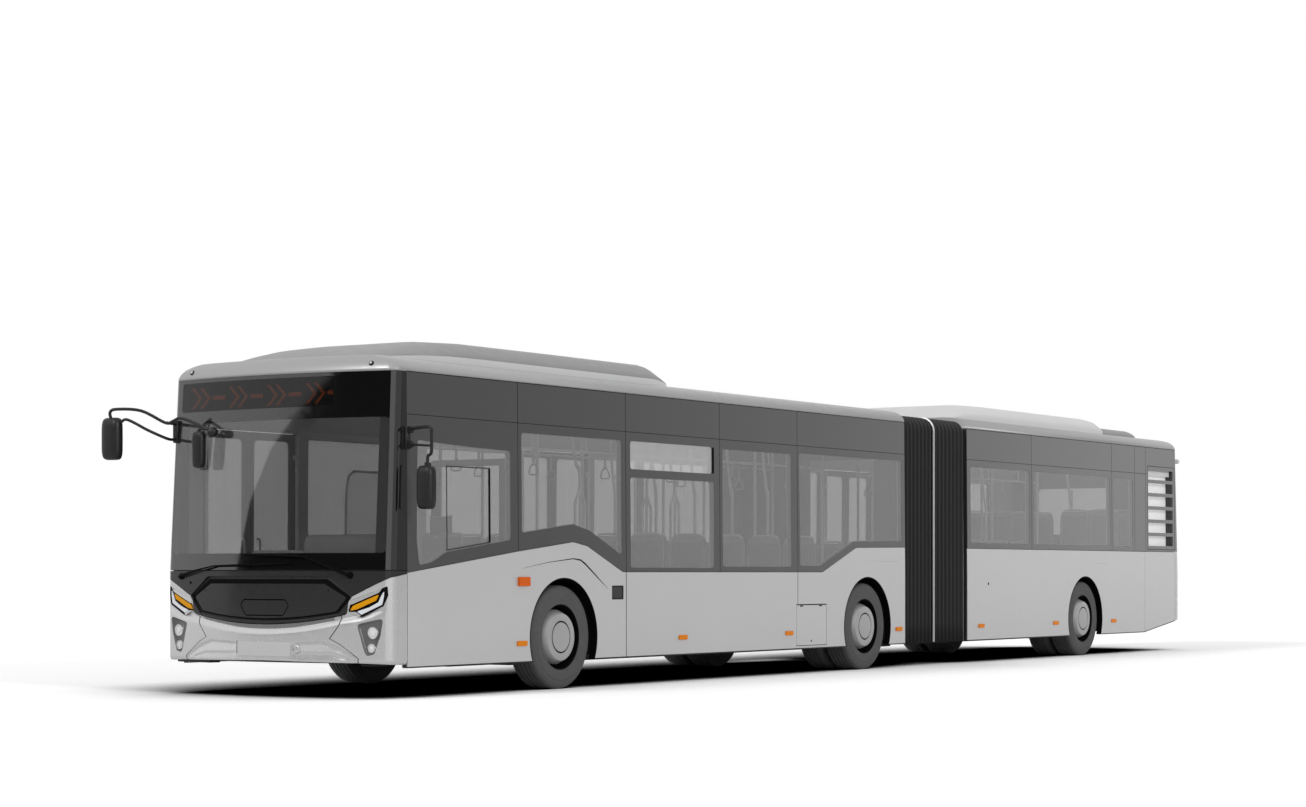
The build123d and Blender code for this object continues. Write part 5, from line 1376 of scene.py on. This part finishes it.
head = mirror_head("mirror_left", 1.435, 1.605, -2.44, -2.36, 1.607, 1.976)
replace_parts(head, "mirrors")
mirror_head("mirror_right", -1.605, -1.395, -3.06, -2.98, 2.067, 2.444)
mirror_head("mirror_ahead", -0.800, -0.672, -2.76, -2.70, 1.99, 2.315)
form = Form().tube(stationed([
    (1.285, -2.345, 2.285), (1.44, -2.37, 2.298), (1.575, -2.40, 2.295), (1.587, -2.40, 2.24),
    (1.586, -2.40, 2.10), (1.575, -2.40, 2.07), (1.55, -2.40, 2.055), (1.545, -2.40, 2.02), (1.545, -2.40, 1.95)
]), 0.0145, 14, 5)
form.tube(stationed([(1.285, -2.345, 2.16), (1.585, -2.40, 2.14)]), 0.0105, 14, 1)
for low, high, edge in (((1.262, -2.378, 2.115), (1.302, -2.312, 2.315), 0.010),
                        ((1.29, -2.362, 2.255), (1.345, -2.325, 2.312), 0.008),
                        ((1.29, -2.362, 2.13), (1.345, -2.325, 2.19), 0.008),
                        ((1.52, -2.42, 1.955), (1.57, -2.38, 2.0), 0.006)):
    form.box(*stationed([low, high]), edge)
form.piece("mirror_left_arm", FRONT, PLASTIC)

form = Form().tube(stationed([
    (-1.50, -3.02, 2.43), (-1.50, -3.03, 2.49), (-1.44, -3.01, 2.515), (-1.25, -2.90, 2.50), (-1.135, -2.72, 2.40),
    (-1.05, -2.715, 2.41), (-0.95, -2.715, 2.435), (-0.75, -2.71, 2.37), (-0.60, -2.705, 2.31)]), 0.014, 14, 5)
form.tube(stationed([(-1.40, -3.0, 2.40), (-1.337, -2.98, 2.42), (-1.24, -2.82, 2.33), (-1.165, -2.66, 2.262),
                     (-1.185, -2.55, 2.26), (-1.19, -2.52, 2.26)]), 0.013, 14, 5)
form.tube(stationed([(-1.12, -2.71, 2.40), (-1.17, -2.60, 2.40), (-1.19, -2.52, 2.40)]), 0.014, 14, 5)
form.box((-1.225, at(-2.535), 2.23), (-1.165, at(-2.495), 2.43), 0.010)
form.disc((-0.582, at(-2.75), 2.304), (0, 1, 0), [
    (0, 0.010), (0.010, 0.032), (0.030, 0.044), (0.055, 0.044), (0.075, 0.032), (0.086, 0.008)], 28)
form.tube(stationed([(-0.60, -2.70, 2.31), (-0.68, -2.715, 2.335), (-0.735, -2.725, 2.32), (-0.736, -2.73, 2.28)]),
          0.011)
form.piece("mirror_right_arm", FRONT, PLASTIC)

# ------------------------------------------------------------------ wipers


def on_nose(point, d):
    return nose(nose.across(point[0]), point[1], d)


def wiper(name, pivot, elbow, tip, blade):
    here = Vector(on_nose(pivot, 0.0))
    way = (Vector(on_nose(pivot, 0.05)) - here).normalized()
    form = Form().disc(here - way * 0.02, way, [
        (0, 0.030), (0.022, 0.030), (0.040, 0.024), (0.050, 0.014), (0.052, 0.002)], 28)
    x, z = mix(pivot, elbow, 0.5)
    form.tube([on_nose(pivot, 0.030), on_nose((x, z + 0.004), 0.042), on_nose(elbow, 0.034)],
              [0.016, 0.011, 0.008], 12, 6, 0.7)
    form.tube([on_nose(mix(elbow, tip, k / 6), 0.034 - 0.004 * k / 6) for k in range(7)],
              [0.008, 0.006], 10, 2, 0.6)
    line = [mix(*blade, k / 14) for k in range(15)]
    form.tube([on_nose(p, 0.014) for p in line], [0.006, 0.011, 0.012, 0.011, 0.006], 10, 1, 0.8)
    form.tube([on_nose((x, z - 0.004), 0.005) for x, z in line], 0.0045, 6, 1)
    return form.piece(name, FRONT, MATT)


wiper_right = wiper("wiper_right", (-1.040, 1.040), (-0.566, 1.132), (-0.10, 1.146),
                    ((-0.56, 1.128), (0.33, 1.156)))
wiper("wiper_left", (0.900, 1.052), (0.452, 1.212), (0.15, 1.222), ((0.50, 1.212), (-0.22, 1.232)))
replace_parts(wiper_right, "wipers")

# ------------------------------------------------------------------ seats

SEAT_W = 0.843
BACK = ((-1, -0.016), (-0.97, 0.006), (-0.6, 0.016), (0, 0.020), (0.6, 0.016), (0.97, 0.006), (1, -0.016),
        (0.94, -0.012), (0.6, -0.001), (0, 0.002), (-0.6, -0.001), (-0.94, -0.012))
PAN = ((-1, 0.022), (-0.96, 0.0), (-0.6, -0.012), (0, -0.016), (0.6, -0.012), (0.96, 0.0), (1, 0.022),
       (0.93, 0.014), (0.6, 0.006), (0, 0.002), (-0.6, 0.006), (-0.93, 0.014))


def pillow(form, corner, across, up, out, thick, crown=0.5, grid=9):
    """A stuffed pad on a parallelogram: it is fullest in the middle and pulled in at its rim."""
    corner, across, up, out = Vector(corner), Vector(across), Vector(up), Vector(out).normalized()
    marks = [0.5 - 0.5 * cos(pi * n / grid) for n in range(grid + 1)]
    index, verts, faces = {}, [], []
    for layer, (i, u), (j, v) in product((1, -1), enumerate(marks), enumerate(marks)):
        if layer < 0 and (i in (0, grid) or j in (0, grid)):
            index[layer, i, j] = index[1, i, j]
            continue
        a, b = 2 * u - 1, 2 * v - 1
        full = ((1 - abs(a) ** 6) * (1 - abs(b) ** 6)) ** 0.5
        dome = 1 + crown * (1 - a * a) * (1 - b * b)
        channel = 1 - 0.18 * max(0, 1 - abs(abs(b) - 0.42) / 0.07) * full
        pull = 0.012 * (1 - a * a) * (abs(b) ** 8), 0.012 * (1 - b * b) * (abs(a) ** 8)
        point = corner + across * u + up * v
        point += up.normalized() * (-pull[0] if b > 0 else pull[0])
        point += across.normalized() * (-pull[1] if a > 0 else pull[1])
        height = thick / 2 * full * (dome * channel if layer > 0 else 0.8)
        index[layer, i, j] = len(verts)
        verts.append(point + out * layer * height)
    for layer, i, j in product((1, -1), range(grid), range(grid)):
        face = [index[layer, i, j], index[layer, i + 1, j], index[layer, i + 1, j + 1], index[layer, i, j + 1]]
        faces.append(face[::layer])
    form.add(verts, faces)


def seat_pair(pads, shells, rails, x0, s, floor_z):
    """Two places side by side: moulded shells, pads and a grab handle, facing the nose."""
    x1, y = x0 + SEAT_W, at(s)
    width = (x1 - x0 - 0.02) / 2
    for a in (x0, x0 + width + 0.02):
        pillow(pads, (a + 0.012, y - 0.405, floor_z + 0.443), (width - 0.024, 0, 0), (0, 0.40, -0.004),
               (0, 0, 1), 0.05)
        pillow(pads, (a + 0.02, y + 0.016, floor_z + 0.47), (width - 0.04, 0, 0), (0, 0.012, 0.56),
               (0, -1, 0.02), 0.034)
        # back shell, a thin curved board with a rolled top, and the pan
        back, pan = [], []
        for w in [k / 12 for k in range(13)]:
            half = width / 2 - 0.004 - 0.03 * max(0, (w - 0.82) / 0.18) ** 2 - 0.012 * max(0, 0.2 - w)
            back.append([(a + width / 2 + half * c, y + 0.028 + 0.012 * w + d, floor_z + 0.42 + 0.66 * w)
                         for c, d in BACK])
        for w in [k / 8 for k in range(9)]:
            z = floor_z + 0.402 + 0.012 * abs(2 * w - 1) ** 3
            pan.append([(a + width / 2 + (width / 2 - 0.004) * c, y - 0.42 + 0.44 * w, z + d) for c, d in PAN])
        shells.loft(back).loft(pan)
        handle = [(0.05, 0.045, 1.02), (0.055, 0.05, 1.08), (0.10, 0.05, 1.098)]
        rails.tube([(a + x, y + dy, floor_z + z) for x, dy, z in handle]
                   + [(a + width - x, y + dy, floor_z + z) for x, dy, z in handle[::-1]], 0.0125, 10, 4)
    middle = (x0 + x1) / 2
    shells.box((x0 + 0.03, y - 0.33, floor_z + 0.345), (x1 - 0.01, y - 0.08, floor_z + 0.385), 0.008)
    rails.tube([(middle, y - 0.21, floor_z + 0.36), (middle, y - 0.205, floor_z + 0.2),
                (middle, y - 0.20, floor_z + 0.012)], [0.045, 0.030, 0.055], 16, 4)
    rails.disc((middle, y - 0.20, floor_z), (0, 0, 1), [(0.0005, 0.09), (0.010, 0.088), (0.014, 0.06)], 24)


def driver_seat(pads, shells, rails, y):
    pillow(pads, (0.47, y - 0.45, 0.85), (0.46, 0, 0), (0, 0.44, 0.0), (0, 0, 1), 0.10)
    pillow(pads, (0.48, y + 0.035, 0.90), (0.44, 0, 0), (0, 0.02, 0.50), (0, -1, 0), 0.085)
    pillow(pads, (0.575, y + 0.05, 1.42), (0.25, 0, 0), (0, 0.0, 0.17), (0, -1, 0), 0.075)
    shells.box((0.46, y - 0.44, 0.785), (0.94, y - 0.02, 0.83), 0.02)
    shells.box((0.47, y + 0.055, 0.87), (0.93, y + 0.085, 1.43), 0.014)
    shells.box((0.56, y - 0.36, 0.70), (0.84, y - 0.06, 0.79), 0.02)
    rails.tube([(0.70, y - 0.2, 0.72), (0.70, y - 0.2, 0.37)], [0.09, 0.12], 20, 1)
    for x in (0.70 - 0.06, 0.70 + 0.06):
        rails.tube([(x, y + 0.05, 1.38), (x, y + 0.05, 1.46)], 0.007, 8, 1)


LEFT_ROW, RIGHT_ROW = 0.352, -1.195
PLACES = {
    "front": ((LEFT_ROW, FLOOR, (1.80, 2.56, 3.32, 4.08, 4.84)), (RIGHT_ROW, FLOOR, (1.50, 2.30, 4.90))),
    "rear": ((LEFT_ROW, FLOOR, (8.98, 9.74, 10.50)), (RIGHT_ROW, FLOOR, (9.10, 11.16)),
             (LEFT_ROW, PODIUM, (13.10, 13.78)), (RIGHT_ROW, PODIUM, (13.10, 13.78, 14.46))),
}
for section, body in SECTIONS.items():
    pads, shells, rails = Form(), Form(), Form()
    for x0, floor_z, stations in PLACES[section]:
        for s in stations:
            seat_pair(pads, shells, rails, x0, s, floor_z)
    if section == "front":
        driver_seat(pads, shells, rails, at(-1.16))
    cushions = pads.piece(f"{section}_seat_pads", body, CLOTH, sharp=70)
    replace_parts(cushions, f"{section}_seats")
    shells.piece(f"{section}_seat_shells", body, SHELL, sharp=45)
    rails.piece(f"{section}_seat_frames", body, RAIL)

# ------------------------------------------------------------------ saloon

# air ducts along the ceiling's edges, with lamp strips beside them
CEILING_Z, LAMP_PITCH, LAMP_LENGTH = 2.784, 1.25, 1.1
DUCT = [(1.213, 2.40), (1.19, 2.42), (1.05, 2.60), (0.86, 2.70), (0.80, CEILING_Z), (1.213, CEILING_Z)]
for section, s0, s1 in (("front", -0.70, 6.74), ("rear", 8.47, 14.88)):
    ducts, lamps = Form(), Form()
    for side in (1, -1):
        ducts.loft([[(side * x, at(s), z) for x, z in DUCT] for s in (s0, s1)])
        for n in range(int((s1 - s0) / LAMP_PITCH)):
            a = s0 + 0.1 + n * LAMP_PITCH
            lamps.box((side * 0.62 - 0.06, at(a), 2.758),
                      (side * 0.62 + 0.06, at(a + LAMP_LENGTH), CEILING_Z), 0.01)
    ducts.piece(f"ceiling_duct_{section}", SECTIONS[section], CEILING, sharp=20, bevel=0.006)
    lamps.piece(f"ceiling_lamps_{section}", SECTIONS[section], LIGHT_TUBE)
Form().box((-0.54, at(-2.1), 0.3605), (0.54, at(6.66), 0.364), 0.001).piece("floor_cover_front", FRONT, FLOORING)
Form().box((-0.54, at(8.52), 0.3605), (0.54, at(12.48), 0.364), 0.001).box(
    (-1.18, at(12.53), 0.8205), (1.18, at(14.88), 0.824), 0.001).piece("floor_cover_rear", REAR, FLOORING)

# drop handles on the rails, hangers above them, and poles that branch into three
RAIL_X, RAIL_Z, POLE_TOP, HANGER_PITCH, GRIP_PITCH = 0.33, 2.27, 2.78, 0.9, 1.24


def branching_pole(form, x, s, floor_z, lean, spread=0.082):
    """A pole with a bend under the ceiling and three prongs below its middle."""
    y, split = at(s), floor_z + 1.53
    form.tube([(x - lean, y, POLE_TOP), (x - lean, y, 2.42), (x - lean * 0.4, y, 2.12), (x, y, split + 0.08),
               (x, y, floor_z)], 0.0165, 12, 5)
    for reach in (-spread, spread):
        form.tube([(x, y + reach * share, z) for share, z in (
            (0, split + 0.02), (0.45, split - 0.05), (1, split - 0.13), (1, split - 0.30), (1, floor_z + 0.72),
            (0.5, floor_z + 0.62), (0, floor_z + 0.55))], 0.0155, 12, 4)
    form.disc((x, y, floor_z + 0.0005), (0, 0, 1), [(0, 0.05), (0.012, 0.048), (0.018, 0.03)], 20)


def bowed_pole(form, x, s, foot_z, top=POLE_TOP, bow_x=0.10):
    """A curved pole from the ceiling's edge down to the back of a seat."""
    line = ((bow_x, top), (bow_x * 0.75, top - 0.30), (0.01, top - 0.85), (0, (top + foot_z) / 2 - 0.15),
            (0, foot_z))
    form.tube([(x - inward, at(s), z) for inward, z in line], 0.016, 12, 5)


POLES = {
    "front": ([(0.352, 1.60), (0.352, 3.36), (-0.352, 3.90)],
              [(0.40, s, 1.44) for s in (2.16, 2.92, 3.68, 4.44, 5.20)], (-0.5, 6.5)),
    "rear": ([(0.352, 9.36), (-0.352, 10.66)],
             [(0.40, 9.96, 1.44), (0.40, 10.72, 1.44), (0.42, 13.36, 1.92)], (8.7, 12.4)),
}
for section, (branching, bowed, (s0, s1)) in POLES.items():
    form = Form()
    for x, s in branching:
        branching_pole(form, x, s, FLOOR, 0.09 if x > 0 else -0.09)
    for x, s, foot_z in bowed:
        bowed_pole(form, x, s, foot_z)
    for side, k in product((1, -1), range(int((s1 - s0) / HANGER_PITCH))):
        x, y = side * RAIL_X, at(s0 + 0.45 + HANGER_PITCH * k)
        form.tube([(x, y, RAIL_Z), (x, y - 0.03, RAIL_Z + 0.25), (x, y - 0.05, 2.783)], 0.010, 10, 4)
    form.piece(f"saloon_poles_{section}", SECTIONS[section], RAIL)

GRIP = ((-0.03, 0.16), (-0.055, 0.235), (0, 0.25), (0.055, 0.235), (0.03, 0.16), (0, 0.15), (-0.03, 0.16))
for section, s0, count in (("front", -0.4, 6), ("rear", 8.9, 3)):
    form, straps = Form(), Form()
    for n, side in product(range(count), (1, -1)):
        x, y = side * RAIL_X, at(s0 + GRIP_PITCH * n)
        form.tube([(x + dx, y, RAIL_Z - down) for dx, down in GRIP], 0.008, 8, 3)
        straps.tube([(x, y, RAIL_Z - 0.148), (x, y, RAIL_Z - 0.06), (x, y, RAIL_Z + 0.012)], 0.012, 8, 1, 0.3)
    form.piece(f"grab_handles_{section}", SECTIONS[section], SHELL, slot="dark_plastic")
    straps.piece(f"grab_straps_{section}", SECTIONS[section], TRIM)

# ------------------------------------------------------------------ cab

Form().skin(rounded(both([(0, 1.043), (1.05, 1.043), (1.05, 1.05), (0, 1.05)]), 0.001), nose, -0.07, -0.075,
            cuts=(nose.marks, ())).box((0.24, at(-2.36), 1.088), (1.10, at(-2.10), 1.125), 0.02
                                       ).piece("dash_top", FRONT, PLASTIC)
Form().box((0.46, at(-2.14), 1.09), (0.94, at(-2.02), 1.20), 0.03, Matrix.Rotation(radians(-32), 3, "X")).piece(
    "dash_binnacle", FRONT, TRIM)
HOOD = [(-2.42, 1.10), (-2.42, 1.30), (-2.405, 1.36), (-2.375, 1.392), (-2.33, 1.402), (-2.21, 1.388),
        (-2.19, 1.37), (-2.21, 1.24), (-2.24, 1.10)]
rings = []
for x, size in ((0.20, 0.9), (0.205, 0.96), (0.22, 1.0), (1.06, 1.0), (1.075, 0.96), (1.08, 0.9)):
    outline = [mix((-2.31, 1.25), point, size) for point in HOOD]
    rings.append([(x, at(s), z) for s, z in outline])
Form().loft(rings).box((-0.42, at(-2.42), 1.095), (0.196, at(-2.16), 1.268), 0.03).piece(
    "dash_hood", FRONT, CEILING, slot="dark_plastic", sharp=35, bevel=0.004)

normal = Vector((0, 0.85, 0.53)).normalized()
centre = Vector((0.70, at(-1.88), 1.137))
u = Vector((1, 0, 0))
v = normal.cross(u)
RIM_R, RIM_THICK, RIM_STEPS, RIM_SIDES = 0.22, 0.013, 56, 10
rings = []
for n in range(RIM_STEPS):
    a = 2 * pi * n / RIM_STEPS
    out = u * cos(a) + v * sin(a)
    rings.append([centre + out * (RIM_R + RIM_THICK * cos(b)) + normal * RIM_THICK * sin(b)
                  for b in [2 * pi * k / RIM_SIDES for k in range(RIM_SIDES)]])
form = Form().loft(rings, around=True)
for a in (0.35, pi - 0.35, -pi / 2):
    out = u * cos(a) + v * sin(a)
    form.tube([centre + out * 0.04 - normal * 0.02, centre + out * 0.13 - normal * 0.012, centre + out * 0.218],
              [0.022, 0.014, 0.011], 10, 4, 0.6)
form.disc(centre - normal * 0.05, normal, [(0, 0.045), (0.03, 0.07), (0.048, 0.065), (0.054, 0.03), (0.055, 0.002)])
form.piece("steering_wheel", FRONT, PLASTIC)

# screen beside the driver, in a frame on the partition
Form().box((0.318, at(-2.02), 0.37), (0.340, at(-0.79), 1.10), 0.008).piece("cab_door", FRONT, TRIM)
Form().box((0.325, at(-1.98), 1.10), (0.333, at(-0.79), 1.95), 0.003).piece("cab_screen", FRONT, LENS)
Form().tube(stationed([(0.329, -2.0, 1.09), (0.329, -1.99, 1.80), (0.329, -1.90, 1.955), (0.329, -1.75, 1.965),
                       (0.329, -0.80, 1.965)]), 0.012, 12, 4).piece("cab_screen_edge", FRONT, RAIL)

# amber dots behind the sign's glass: rows of bars with a running arrow, no wording
Form().box((-1.10, at(-2.462), 2.50), (0.66, at(-2.446), 2.75), 0.004).piece("sign_board", FRONT, LED_OFF)
DOT_PITCH, DOT = 0.0122, 0.004
lit = Form()
for column, line in product(range(144), range(19)):
    k, high = column % 36, abs(line - 9)
    arrow = (abs(k - (12 - high)) < 2 or abs(k - (20 - high)) < 2) and high < 8
    if arrow or (k > 23 and high < 2):
        x, y, z = -1.095 + column * DOT_PITCH, at(-2.4625), 2.512 + line * DOT_PITCH
        lit.add([(x - DOT, y, z - DOT), (x + DOT, y, z - DOT), (x + DOT, y, z + DOT), (x - DOT, y, z + DOT),
                 (x, y - DOT, z)], [[0, 1, 4], [1, 2, 4], [2, 3, 4], [3, 0, 4], [3, 2, 1, 0]])
lit.piece("sign_dots", FRONT, LED_ON)

# ------------------------------------------------------------------ finishes of the CAD nodes that stay

CAD_PAINTS = {paint.slot: paint for paint in (
    SILVER, MASK, GLASS, REVERSE, RED, PLASTIC, STEEL, ROOFING, CLOTH, RAIL, BELLOWS, ALUMINIUM, GEAR, TYRE,
    WHEEL, FRAME, ENGINE)}
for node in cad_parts.values():
    for slot in node.material_slots:
        key = slot.material.name.split(".")[0] if slot.material else ""
        slot.material = CAD_PAINTS.get(key, PLASTIC).material
